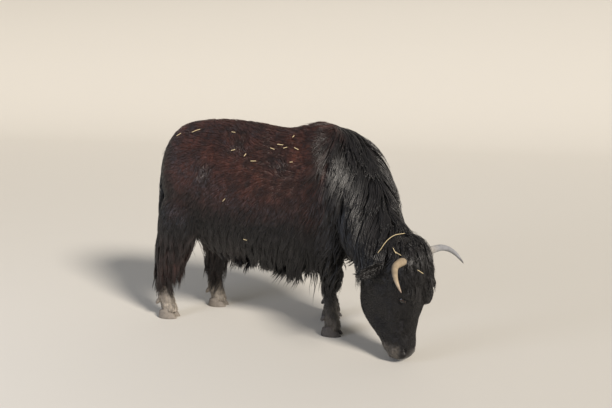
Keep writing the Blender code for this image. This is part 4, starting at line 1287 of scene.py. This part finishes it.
@dataclass
class Coat:
    """Grows tufts on the skin with one Geometry Nodes tree."""

    hide: Hide
    material: bpy.types.Material
    patch: float = 0.003
    flatness: float = 0.22
    root_depth: float = 0.0025
    bundle: float = 0.6
    turns: float = 7.0
    tree: bpy.types.NodeTree | None = None
    sockets: dict[str, str] = field(default_factory=dict)
    given: dict[str, bpy.types.NodeSocket] = field(default_factory=dict)

    def tuft(self, rings: Sequence[float]) -> bpy.types.Object:
        """Return a unit tuft whose points know how far along and across they are.

        Args:
            rings: The shares of the length at which the tuft has a ring of points.

        Returns:
            A closed three-sided form, pointed at its tip.
        """
        corners = ((-1.0, -0.35), (1.0, -0.35), (0.0, 0.7))
        rows = []
        for share in rings:
            wide = 0.62 + 1.3 * share - 1.72 * share * share
            rows += [(share, across * wide, rise * wide) for across, rise in corners]
        rows.append((1.0, 0.0, 0.0))
        tip = len(rows) - 1
        faces = [(0, 1, 2)]
        for start in range(0, tip - 3, 3):
            for k in range(3):
                n = (k + 1) % 3
                faces.append((start + k, start + 3 + k, start + 3 + n, start + n))
        faces += [(tip - 3 + k, tip, tip - 3 + (k + 1) % 3) for k in range(3)]
        mesh = bpy.data.meshes.new("tuft")
        mesh.from_pydata(rows, [], faces)
        bm = bmesh.new()
        bm.from_mesh(mesh)
        bmesh.ops.recalc_face_normals(bm, faces=bm.faces)
        bm.to_mesh(mesh)
        bm.free()
        for name, values in zip(("along", "across", "rise"), np.array(rows).T):
            write_attribute(mesh, name, values)
        return object_from("tuft", mesh)

    def add(self, kind: str, links: dict, **settings: str) -> bpy.types.NodeSocket:
        """Add a node to the tree and return its first output that is in use."""
        node = add_node(self.tree, kind, settings, links)
        return next(socket for socket in node.outputs if socket.enabled)

    def named(self, name: str, kind: str = "FLOAT") -> bpy.types.NodeSocket:
        """Return the socket that reads an attribute by its name."""
        return self.add("GeometryNodeInputNamedAttribute", {"Name": name}, data_type=kind)

    def plant(self) -> None:
        """Build the tree: scatter roots, gather them in locks, bend a tuft from each."""
        self.tree = bpy.data.node_groups.new("coat", "GeometryNodeTree")
        kinds = {"Skin": "Geometry", "Form": "Object", "Tuft": "Object", "Seed": "Int",
                 "Finish": "Material"}
        for name in ("Skin", "Form", "Tuft", "Spacing", "Lock", "Pull", "Width", "Longer",
                     "Yaw", "Wave", "Seed", "Finish"):
            socket = self.tree.interface.new_socket(
                name=name, in_out="INPUT", socket_type="NodeSocket" + kinds.get(name, "Float")
            )
            self.sockets[name] = socket.identifier
        self.tree.interface.new_socket(
            name="Coat", in_out="OUTPUT", socket_type="NodeSocketGeometry"
        )
        outputs = add_node(self.tree, "NodeGroupInput", {}, {}).outputs
        self.given = {name: outputs[name] for name in self.sockets}
        locks = self.spread(self.given["Lock"], 50)
        roots = self.gather(self.spread(self.given["Spacing"], 0), locks)
        shape = add_node(
            self.tree, "GeometryNodeObjectInfo", {}, {"Object": self.given["Tuft"]}
        ).outputs["Geometry"]
        copies = self.add("GeometryNodeInstanceOnPoints", {"Points": roots, "Instance": shape})
        tufts = self.add("GeometryNodeRealizeInstances", {"Geometry": copies})
        spine, out, side = self.spine()
        bent = self.add(
            "GeometryNodeSetPosition",
            {"Geometry": tufts, "Position": self.flesh_out(spine, out, side)},
        )
        dressed = self.add(
            "GeometryNodeSetMaterial",
            {"Geometry": self.lay_out(bent), "Material": self.given["Finish"]},
        )
        add_node(self.tree, "NodeGroupOutput", {}, {0: dressed})

    def draw(self, offset: int, low: float, high: float) -> bpy.types.NodeSocket:
        """Return a random number for each element, with a seed of its own."""
        seed = self.add(NUMBER, {0: self.given["Seed"], 1: offset}, operation="ADD")
        return self.add(
            "FunctionNodeRandomValue", {"Min": low, "Max": high, "Seed": seed},
            data_type="FLOAT",
        )

    def spread(self, distance: bpy.types.NodeSocket, offset: int) -> bpy.types.NodeSocket:
        """Scatter points over the skin, no closer than the distance."""
        seed = self.add(NUMBER, {0: self.given["Seed"], 1: offset}, operation="ADD")
        return self.add(
            "GeometryNodeDistributePointsOnFaces",
            {"Mesh": self.given["Skin"], "Distance Min": distance, "Density Max": 90000.0,
             "Density Factor": self.named("cover"), "Seed": seed},
            distribute_method="POISSON",
        )

    def turned(self, offset: int) -> bpy.types.NodeSocket:
        """Return the lie of the hair, turned a little to either side at random."""
        angle = self.add(
            NUMBER, {0: self.draw(offset, -1.0, 1.0), 1: self.given["Yaw"]},
            operation="MULTIPLY",
        )
        return self.add(
            "ShaderNodeVectorRotate",
            {"Vector": self.named("lie", "FLOAT_VECTOR"),
             "Axis": self.named("face_out", "FLOAT_VECTOR"), "Angle": angle},
            rotation_type="AXIS_ANGLE",
        )

    def gather(self, roots: bpy.types.NodeSocket,
               locks: bpy.types.NodeSocket) -> bpy.types.NodeSocket:
        """Give each root the lock that it belongs to, and its own length and tone.

        Args:
            roots: The points that tufts grow from.
            locks: The points that locks are gathered on.

        Returns:
            The roots, with what the tufts are bent by stored on them.
        """
        here = self.add("GeometryNodeInputPosition", {})
        nearest = self.add(
            "GeometryNodeSampleNearest", {"Geometry": locks, "Sample Position": here},
            domain="POINT",
        )
        centre, lock_lie, lock_length, lock_tone = (
            self.add(
                "GeometryNodeSampleIndex", {"Geometry": locks, "Value": value, "Index": nearest},
                data_type=kind, domain="POINT",
            )
            for value, kind in (
                (here, "FLOAT_VECTOR"), (self.turned(51), "FLOAT_VECTOR"),
                (self.draw(52, 0.72, 1.22), "FLOAT"), (self.draw(53, -1.0, 1.0), "FLOAT"),
            )
        )
        inward = self.add(VECTOR, {0: centre, 1: here}, operation="SUBTRACT")
        inward = self.add(VECTOR, {0: inward, "Scale": self.given["Pull"]}, operation="SCALE")
        lie = self.add(
            "ShaderNodeMix", {"Factor": self.bundle, "A": self.turned(1), "B": lock_lie},
            data_type="VECTOR",
        )
        lie = self.add(VECTOR, {0: lie}, operation="NORMALIZE")
        tone = self.add(
            "ShaderNodeMix",
            {"Factor": self.bundle, "A": self.draw(3, -1.0, 1.0), "B": lock_tone},
            data_type="FLOAT",
        )
        reach = self.named("reach")
        for factor in (self.draw(2, 0.80, 1.12), lock_length, self.given["Longer"]):
            reach = self.add(NUMBER, {0: reach, 1: factor}, operation="MULTIPLY")
        for name, kind, value in (
            ("lie", "FLOAT_VECTOR", lie), ("reach", "FLOAT", reach), ("tone", "FLOAT", tone),
            ("phase", "FLOAT", lock_tone), ("inward", "FLOAT_VECTOR", inward),
            ("root", "FLOAT_VECTOR", here),
        ):
            roots = self.add(
                "GeometryNodeStoreNamedAttribute",
                {"Geometry": roots, "Name": name, "Value": value},
                data_type=kind, domain="POINT",
            )
        return roots

    def spine(self) -> tuple[bpy.types.NodeSocket, ...]:
        """Draw each tuft's middle line out from its root.

        Returns:
            The middle line, the way out of the skin and the way across the tuft.
        """
        along, lie = self.named("along"), self.named("lie", "FLOAT_VECTOR")
        travel = self.add(NUMBER, {0: along, 1: self.named("reach")}, operation="MULTIPLY")
        past = self.add(NUMBER, {0: 1.0, 1: along}, operation="SUBTRACT")
        left = self.add(NUMBER, {0: past, 1: past}, operation="MULTIPLY")
        eased = self.add(NUMBER, {0: 1.0, 1: left}, operation="SUBTRACT")
        sunk = self.add(NUMBER, {0: travel, 1: along}, operation="MULTIPLY")
        sunk = self.add(NUMBER, {0: sunk, 1: self.named("sag")}, operation="MULTIPLY")
        free = self.named("root", "FLOAT_VECTOR")
        for way, amount in (
            (lie, travel), (self.named("inward", "FLOAT_VECTOR"), eased), (DOWN, sunk),
        ):
            step = self.add(VECTOR, {0: way, "Scale": amount}, operation="SCALE")
            free = self.add(VECTOR, {0: free, 1: step}, operation="ADD")
        form = add_node(
            self.tree, "GeometryNodeObjectInfo", {}, {"Object": self.given["Form"]}
        ).outputs["Geometry"]
        near = self.add(
            "GeometryNodeProximity", {0: form, "Sample Position": free}, target_element="FACES"
        )
        out = self.add(
            "GeometryNodeSampleNearestSurface",
            {"Mesh": form, "Value": self.named("face_out", "FLOAT_VECTOR"),
             "Sample Position": free},
            data_type="FLOAT_VECTOR",
        )
        gap = self.add(VECTOR, {0: free, 1: near}, operation="SUBTRACT")
        height = add_node(
            self.tree, VECTOR, {"operation": "DOT_PRODUCT"}, {0: gap, 1: out}
        ).outputs["Value"]
        vary = self.add(
            NUMBER, {0: self.named("phase"), 1: 0.3, 2: 1.0}, operation="MULTIPLY_ADD"
        )
        lift = self.add(NUMBER, {0: self.named("lift"), 1: vary}, operation="MULTIPLY")
        buried = self.add(NUMBER, {0: left, 1: -self.root_depth}, operation="MULTIPLY")
        wanted = self.add(NUMBER, {0: lift, 1: eased, 2: buried}, operation="MULTIPLY_ADD")
        spare = self.add(NUMBER, {0: height, 1: wanted}, operation="SUBTRACT")
        spare = self.add(NUMBER, {0: spare, 1: 0.0}, operation="MAXIMUM")
        loose = self.add(NUMBER, {0: 1.0, 1: self.named("cling")}, operation="SUBTRACT")
        kept = self.add(NUMBER, {0: spare, 1: loose, 2: wanted}, operation="MULTIPLY_ADD")
        shift = self.add(NUMBER, {0: kept, 1: height}, operation="SUBTRACT")
        pushed = self.add(VECTOR, {0: out, "Scale": shift}, operation="SCALE")
        line = self.add(VECTOR, {0: free, 1: pushed}, operation="ADD")
        side = self.add(VECTOR, {0: lie, 1: out}, operation="CROSS_PRODUCT")
        return line, out, self.add(VECTOR, {0: side}, operation="NORMALIZE")

    def flesh_out(self, line: bpy.types.NodeSocket, out: bpy.types.NodeSocket,
                  side: bpy.types.NodeSocket) -> bpy.types.NodeSocket:
        """Give the middle line its width, thickness and waves.

        Args:
            line: The tuft's middle line.
            out: The way out of the skin.
            side: The way across the tuft.

        Returns:
            The place of each of the tuft's points.
        """
        along = self.named("along")
        angle = self.add(NUMBER, {0: self.named("phase"), 1: 3.0}, operation="MULTIPLY")
        angle = self.add(NUMBER, {0: along, 1: self.turns, 2: angle}, operation="MULTIPLY_ADD")
        wave = self.add(NUMBER, {0: angle}, operation="SINE")
        for factor in (along, self.named("reach"), self.given["Wave"]):
            wave = self.add(NUMBER, {0: wave, 1: factor}, operation="MULTIPLY")
        half = self.add(NUMBER, {0: self.given["Width"], 1: 0.5}, operation="MULTIPLY")
        sideways = self.add(
            NUMBER, {0: self.named("across"), 1: half, 2: wave}, operation="MULTIPLY_ADD"
        )
        thick = self.add(
            NUMBER, {0: self.given["Width"], 1: self.flatness}, operation="MULTIPLY"
        )
        outward = self.add(NUMBER, {0: self.named("rise"), 1: thick}, operation="MULTIPLY")
        for way, amount in ((side, sideways), (out, outward)):
            step = self.add(VECTOR, {0: way, "Scale": amount}, operation="SCALE")
            line = self.add(VECTOR, {0: line, 1: step}, operation="ADD")
        return line

    def lay_out(self, tufts: bpy.types.NodeSocket) -> bpy.types.NodeSocket:
        """Give each tuft a small patch of the map, at its root's place on the unwrap."""
        offset = self.add(
            "ShaderNodeCombineXYZ", {0: self.named("along"), 1: self.named("across")}
        )
        spot = self.add(
            VECTOR,
            {0: offset, 1: (self.patch, self.patch / 2, 0.0),
             2: self.named("unwrap", "FLOAT_VECTOR")},
            operation="MULTIPLY_ADD",
        )
        return self.add(
            "GeometryNodeStoreNamedAttribute",
            {"Geometry": tufts, "Name": "OFBake", "Value": spot},
            data_type="FLOAT2", domain="CORNER",
        )

    def grow(self, cut: CoatCut) -> bpy.types.Object:
        """Return the coat of one stretch of hide as a plain mesh."""
        if self.tree is None:
            self.plant()
        mesh = self.hide.skin.data.copy()
        write_attribute(mesh, "cover", self.hide.cover(cut.zone, coordinates(mesh)))
        coat = object_from("coat", mesh)
        tuft = self.tuft(cut.rings)
        form = self.hide.skin if cut.zone is Zone.EARS else self.hide.form
        grower = coat.modifiers.new("grow", "NODES")
        grower.node_group = self.tree
        values = {"Form": form, "Tuft": tuft, "Spacing": cut.spacing, "Lock": cut.lock,
                  "Pull": cut.pull, "Width": cut.width, "Longer": cut.longer, "Yaw": cut.yaw,
                  "Wave": cut.wave, "Seed": cut.seed, "Finish": self.material}
        for name, value in values.items():
            grower[self.sockets[name]] = value
        settle(coat)
        drop(tuft)
        spent = ("across", "rise", "reach", "lift", "sag", "cling", "root", "lie", "phase",
                 "inward", "unwrap", "cover", "bare")
        for name in spent:
            coat.data.attributes.remove(coat.data.attributes[name])
        return coat


# The hard parts


@dataclass
class Horn:
    """One slender horn: out to the side, then curving to the face."""

    side: Side
    sides: int = 28
    steps: int = 9

    def build(self) -> bpy.types.Object:
        """Return the horn with faint growth rings near its root."""
        rows = (
            # to the nose, to the side, to the forehead, radius
            (0.032, 0.070, -0.040, 0.0195),
            (0.028, 0.116, -0.034, 0.0195),
            (0.024, 0.170, -0.022, 0.0178),
            (0.025, 0.222, -0.008, 0.0155),
            (0.040, 0.262, 0.012, 0.0128),
            (0.066, 0.289, 0.034, 0.0096),
            (0.096, 0.301, 0.056, 0.0054),
            (0.113, 0.304, 0.068, 0.0015),
        )
        points = [HEAD_FRAME @ Vector((x, self.side.value * y, z)) for x, y, z, _ in rows]
        radii = [row[3] for row in rows]
        count = (len(rows) - 1) * self.steps
        shares = [i / count for i in range(count + 1)]
        wide = []
        for share in shares:
            ring = 0.0004 * math.sin(share * 120) * max(0.0, 1 - share * 2.2)
            wide.append(spline(radii, share * (len(rows) - 1)) + ring)
        path = [spline(points, share * (len(rows) - 1)) for share in shares]
        horn = tapered("horn", path, wide, self.sides)
        write_attribute(horn.data, "along", np.repeat(shares, self.sides))
        return horn


@dataclass(frozen=True)
class StrawFinish:
    """Dry grass stalk: pale straw yellow and faintly glossy."""

    straw: str = "d9c69c"
    roughness: float = 0.5

    def build(self) -> bpy.types.Material:
        """Return the straw's material."""
        material = bpy.data.materials.new("dry_straw")
        material.use_nodes = True
        shader = material.node_tree.nodes["Principled BSDF"]
        shader.inputs["Base Color"].default_value = linear(self.straw)
        shader.inputs["Roughness"].default_value = self.roughness
        return material


@dataclass
class Straw:
    """Bits of dry grass that lie on the coat of the back, and a stalk over the poll."""

    surface: BVHTree
    coat_depth: float = 0.011
    radius: float = 0.0016

    def stalk(self, spots: Sequence[Vector]) -> bpy.types.Object:
        """Return one stalk laid on the coat through the spots."""
        count = 6 * (len(spots) - 1)
        path = []
        for k in range(count + 1):
            near, outward, _, _ = self.surface.find_nearest(spline(spots, k / 6))
            path.append(near + outward * self.coat_depth)
        radii = [self.radius] * (count + 1)
        radii[0] = radii[-1] = self.radius * 0.5
        return tapered("stalk", path, radii, 6)

    def build(self) -> bpy.types.Object:
        """Return all the bits of straw as one piece."""
        bits = (
            # along the body, height, length, slope in degrees
            (-0.384, 1.043, 0.030, 40), (-0.285, 1.066, 0.052, 35), (-0.069, 1.062, 0.022, -10),
            (-0.042, 0.978, 0.024, 20), (0.027, 0.955, 0.020, 60), (0.076, 0.927, 0.030, 5),
            (0.163, 0.987, 0.026, -20), (0.199, 1.007, 0.034, -5), (0.230, 0.993, 0.024, 30),
            (0.258, 1.046, 0.022, 75), (0.290, 0.990, 0.030, -30), (0.274, 0.926, 0.018, 10),
            (-0.069, 0.728, 0.020, 45), (0.030, 0.519, 0.020, -15),
        )
        stalks = []
        for x, z, length, slope in bits:
            hit, _, _, _ = self.surface.ray_cast(Vector((x, -1.0, z)), LEFT)
            angle = math.radians(slope)
            half = Vector((math.cos(angle), 0, math.sin(angle))) * length * 0.5
            stalks.append(self.stalk([hit - half, hit, hit + half]))
        rows = (
            ((0.778, -0.480, 0.560), (0.807, -0.470, 0.575), (0.829, -0.455, 0.615),
             (0.857, -0.435, 0.640), (0.900, -0.405, 0.650)),
            ((0.862, -0.500, 0.592), (0.884, -0.500, 0.562)),
            ((0.876, -0.490, 0.570), (0.904, -0.500, 0.556)),
            ((0.966, -0.490, 0.496), (0.988, -0.470, 0.474)),
        )
        mane = Straw(self.surface, 0.026, 0.0013)
        stalks += [mane.stalk([Vector(spot) for spot in row]) for row in rows]
        bm = bmesh.new()
        for stalk in stalks:
            bm.from_mesh(stalk.data)
        drop(*stalks)
        return object_from_bmesh("straw", bm)


@dataclass
class Hoof:
    """The two claws and two dewclaws of one foot."""

    leg: str
    length: float = 0.108
    width: float = 0.047
    height: float = 0.066
    sides: int = 40

    def claw(self, outward: int) -> bpy.types.Object:
        """Return one claw with a flat sole, cut along the coronet."""
        foot_x, foot_y = FEET[self.leg]
        centre_y = foot_y + outward * (self.width * 0.5 + 0.0035)
        heel = foot_x - self.length * 0.48
        rows = (
            # height share, shrink at the toe, shrink at the heel, width share
            Vector((0.00, 0.0025, 0.0015, 0.92)),
            Vector((0.03, 0.0005, -0.0005, 0.96)),
            Vector((0.10, 0.003, -0.002, 1.00)),
            Vector((0.30, 0.013, 0.000, 0.99)),
            Vector((0.55, 0.026, 0.004, 0.97)),
            Vector((1.00, 0.048, 0.010, 0.90)),
        )
        rings = []
        for i in range(2 * len(rows) - 1):
            share, toe_cut, heel_cut, width_share = spline(rows, i / 2)
            back, front = heel + heel_cut, heel + self.length - toe_cut
            ring = []
            for k in range(self.sides):
                angle = math.tau * k / self.sides
                forward = math.cos(angle)
                taper = 1.0 - 0.38 * max(forward, 0.0) ** 2
                x = (back + front) / 2 + (front - back) / 2 * power_wave(forward, 2.3)
                y = self.width * 0.5 * width_share * power_wave(math.sin(angle), 2.4) * taper
                lean = -outward * 0.006 * max(forward, 0.0) * (1 - share)
                ring.append(Vector((x, centre_y + y + lean, self.height * max(share, 0.0))))
            rings.append(ring)
        claw = skin_rings("claw", rings)
        bm = bmesh.new()
        bm.from_mesh(claw.data)
        normal = Vector((-math.sin(CORONET_SLOPE), 0, math.cos(CORONET_SLOPE)))
        cut = bmesh.ops.bisect_plane(
            bm, geom=bm.verts[:] + bm.edges[:] + bm.faces[:], clear_outer=True,
            plane_co=(foot_x, foot_y, CORONET_HEIGHT), plane_no=normal,
        )
        rim = [edge for edge in cut["geom_cut"] if isinstance(edge, bmesh.types.BMEdge)]
        bmesh.ops.contextual_create(bm, geom=rim)
        bm.to_mesh(claw.data)
        bm.free()
        return claw

    def dewclaw(self, outward: int) -> bpy.types.Object:
        """Return one small dewclaw behind the fetlock."""
        foot_x, foot_y = FEET[self.leg]
        back = 0.066 if self.leg.startswith("hind") else 0.050
        start = Vector((foot_x - back + 0.022, foot_y + outward * 0.020, 0.112))
        end = Vector((foot_x - back - 0.004, foot_y + outward * 0.024, 0.080))
        path = [start.lerp(end, share) for share in (0.0, 0.25, 0.5, 0.75, 0.92, 1.0)]
        return tapered("dewclaw", path, (0.012, 0.0125, 0.0125, 0.0105, 0.0075, 0.0050), 20)


# The studio


@dataclass
class Studio:
    """A pale floor, soft lamps and the camera at the photograph's angle."""

    eye: Vector = field(default_factory=lambda: Vector((1.443, -3.685, 1.385)))
    azimuth: float = math.radians(17.4)
    dip: float = math.radians(10.4)
    focal_pixels: float = 720.0
    frame_pixels: float = 612.0
    sensor: float = 36.0

    def camera(self) -> None:
        """Set the camera where the photograph was taken from."""
        data = bpy.data.cameras.new("camera")
        data.sensor_width = self.sensor
        data.lens = self.sensor * self.focal_pixels / self.frame_pixels
        camera = object_from("camera", data)
        look = Vector((
            -math.sin(self.azimuth) * math.cos(self.dip),
            math.cos(self.azimuth) * math.cos(self.dip),
            -math.sin(self.dip),
        ))
        camera.location = self.eye - ORIGIN
        camera.rotation_euler = look.to_track_quat("-Z", "Y").to_euler()
        bpy.context.scene.camera = camera

    def floor(self) -> None:
        """Lay the pale floor, which sweeps up to a backdrop far behind the animal."""
        turns = [math.radians(15 * k) for k in range(7)]
        rows = [(-30.0, 0.0)] + [(9.0 + 4.0 * math.sin(t), 4.0 - 4.0 * math.cos(t)) for t in turns]
        rows.append((13.0, 16.0))
        bm = bmesh.new()
        edge = [[bm.verts.new((x, y, z)) for y, z in rows] for x in (-40.0, 40.0)]
        for k in range(len(rows) - 1):
            sheet = bm.faces.new((edge[0][k], edge[1][k], edge[1][k + 1], edge[0][k + 1]))
            sheet.smooth = True
        floor = object_from_bmesh("floor", bm)
        material = bpy.data.materials.new("studio_floor")
        material.use_nodes = True
        shader = material.node_tree.nodes["Principled BSDF"]
        shader.inputs["Base Color"].default_value = linear("c6c3bd")
        shader.inputs["Roughness"].default_value = 0.9
        floor.data.materials.append(material)

    def sun(self) -> None:
        """Hang the key light, far away on the animal's right and ahead of it."""
        data = bpy.data.lights.new("key", "SUN")
        data.angle = math.radians(14)
        data.energy = 4.5
        data.color = linear("fff6ea")[:3]
        lamp = object_from("key", data)
        lamp.rotation_euler = Vector((-0.72, 0.54, -0.60)).to_track_quat("-Z", "Y").to_euler()

    def lamp(self, name: str, where: Vector, size: float, power: float, colour: str) -> None:
        """Hang one large soft lamp that points at the animal's middle."""
        data = bpy.data.lights.new(name, "AREA")
        data.shape = "DISK"
        data.size = size
        data.energy = power
        data.color = linear(colour)[:3]
        lamp = object_from(name, data)
        lamp.location = where
        lamp.rotation_euler = (Vector((0, 0, 0.6)) - where).to_track_quat("-Z", "Y").to_euler()

    def build(self) -> None:
        """Set up the whole studio."""
        self.floor()
        self.camera()
        self.sun()
        self.lamp("fill", Vector((-3.2, -4.0, 1.9)), 2.0, 90.0, "e4ecff")
        world = bpy.data.worlds.new("studio")
        world.use_nodes = True
        sky = world.node_tree.nodes["Background"]
        sky.inputs["Color"].default_value = linear("e3e6ea")
        sky.inputs["Strength"].default_value = 0.32
        bpy.context.scene.world = world
        bpy.context.scene.view_settings.view_transform = "Standard"


# The animal


LONG = (0.0, 0.18, 0.40, 0.64, 0.86)
CUTS = (
    CoatCut(Zone.FLANK_RIGHT, 0.0060, 0.0040, 11, Slot.COAT_BROWN, wave=0.02, pull=0.35),
    CoatCut(Zone.FLANK_LEFT, 0.0060, 0.0040, 12, Slot.COAT_BROWN, wave=0.02, pull=0.35),
    CoatCut(Zone.BACK, 0.0060, 0.0040, 13, Slot.COAT_BROWN, wave=0.02, pull=0.35),
    CoatCut(Zone.RUMP, 0.0060, 0.0040, 14, Slot.COAT_BROWN, wave=0.02, pull=0.35),
    CoatCut(Zone.NECK, 0.0078, 0.0064, 21, rings=LONG, wave=0.05, lock=0.036, pull=0.85),
    CoatCut(Zone.SKIRT_RIGHT, 0.0078, 0.0062, 31, rings=LONG, wave=0.06, lock=0.036, pull=0.85),
    CoatCut(Zone.SKIRT_LEFT, 0.0078, 0.0062, 32, rings=LONG, wave=0.06, lock=0.036, pull=0.85),
    CoatCut(Zone.FACE, 0.0033, 0.0024, 41, rings=(0.0, 0.5), yaw=0.10, lock=0.014, pull=0.30),
    CoatCut(Zone.FORELOCK, 0.0072, 0.0060, 42, rings=LONG, longer=2.2, wave=0.05,
            lock=0.030, pull=0.8),
    CoatCut(Zone.SHANKS, 0.0048, 0.0036, 51, Slot.COAT_LEG, lock=0.014, pull=0.4),
    CoatCut(Zone.TAIL, 0.0052, 0.0060, 61, rings=LONG, wave=0.05, lock=0.022, pull=0.6),
    CoatCut(Zone.EARS, 0.0028, 0.0032, 71, lock=0.012, pull=0.4),
)


@dataclass
class Yak:
    """The whole animal, built from its skin outwards."""

    hide: Hide = field(default_factory=lambda: Hide(Anatomy()))

    def flesh_nodes(self) -> list[str]:
        """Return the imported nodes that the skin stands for."""
        names = ["torso", "neck", "head", "tail", "ear_left", "ear_right"]
        return names + [part + leg for leg in FEET for part in ("leg_", "shank_")]

    def unwrap(self, skin: bpy.types.Object) -> None:
        """Unwrap the skin by its own shape and keep the map for the tufts' roots."""
        bpy.context.view_layer.objects.active = skin
        skin.select_set(True)
        bpy.ops.object.mode_set(mode="EDIT")
        bpy.ops.mesh.select_all(action="SELECT")
        bpy.ops.uv.smart_project(angle_limit=math.radians(70), island_margin=0.004)
        bpy.ops.object.mode_set(mode="OBJECT")
        skin.select_set(False)
        corners = len(skin.data.loops)
        flat = np.empty(corners * 2, np.float32)
        skin.data.uv_layers.active.data.foreach_get("uv", flat)
        spots = np.zeros((corners, 3), np.float32)
        spots[:, :2] = flat.reshape(-1, 2)
        attribute = skin.data.attributes.new("unwrap", "FLOAT_VECTOR", "CORNER")
        attribute.data.foreach_set("vector", spots.ravel())

    def build(self) -> None:
        skin = self.hide.build()
        self.unwrap(skin)
        coat = Coat(self.hide, HairFinish().build())
        skin_finish = SkinFinish().build()
        face = Face(surface_of(self.hide.form))
        for cut in CUTS:
            piece = coat.grow(cut)
            self.bring_home(piece)
            place(piece, "coat_" + cut.zone.value, coat.material)
        drop(self.hide.form)
        straw = self.bring_home(Straw(surface_of(skin)).build())
        place(straw, "straw", StrawFinish().build())
        self.bring_home(skin)
        place(skin, "skin", skin_finish, self.flesh_nodes())
        horn_finishes = {
            Side.RIGHT: HornFinish("horn_tan", "98876f", "ab9d88", "7d6658").build(),
            Side.LEFT: HornFinish("horn_grey", "85868a", "a89f90", "2a2627").build(),
        }
        eye_finish = EyeFinish().build()
        for side in Side:
            horn = self.bring_home(Horn(side).build())
            place(horn, "horn_piece_" + side.word, horn_finishes[side],
                  ["horn_" + side.word])
            seat, outward = face.eye_seat(side)
            eye = ball("eye", seat, EYE_RADIUS, detail=5)
            spread = (coordinates(eye.data) - np.array(seat)) @ np.array(outward) / EYE_RADIUS
            write_attribute(eye.data, "off_axis", np.arccos(np.clip(spread, -1, 1)) / 1.6)
            self.bring_home(eye)
            place(eye, "eyeball_" + side.word, eye_finish, ["eye_" + side.word])
            lids = self.bring_home(face.lids(side))
            place(lids, "lids_" + side.word, skin_finish)
        # Painted shade: the fore hooves get a darker copy of the hoof finish, standing in for the
        # head's shade on them; the hind hooves are dusty.
        dusty = HoofFinish("hoof_dusty", "5a534d", "8c847a").build()
        dark = HoofFinish("hoof_dark", "2b2829", "55504d").build()
        for leg in FEET:
            hoof = Hoof(leg)
            hoof_finish = dusty if leg.startswith("hind") else dark
            for side in Side:
                for part, item in (("claw", hoof.claw(side.value)),
                                   ("dewclaw", hoof.dewclaw(side.value))):
                    node = f"{part}_{leg}_{side.word}"
                    place(self.bring_home(item), part + "_horn_" + leg + "_" + side.word,
                          hoof_finish, [node])

    def bring_home(self, item: bpy.types.Object) -> bpy.types.Object:
        """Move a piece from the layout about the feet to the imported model's frame."""
        item.data.transform(Matrix.Translation(-ORIGIN))
        return item


def main() -> None:
    """Build the animal and its studio."""
    logging.basicConfig(level=logging.INFO)
    Yak().build()
    Studio().build()


if __name__ == "__main__":
    main()
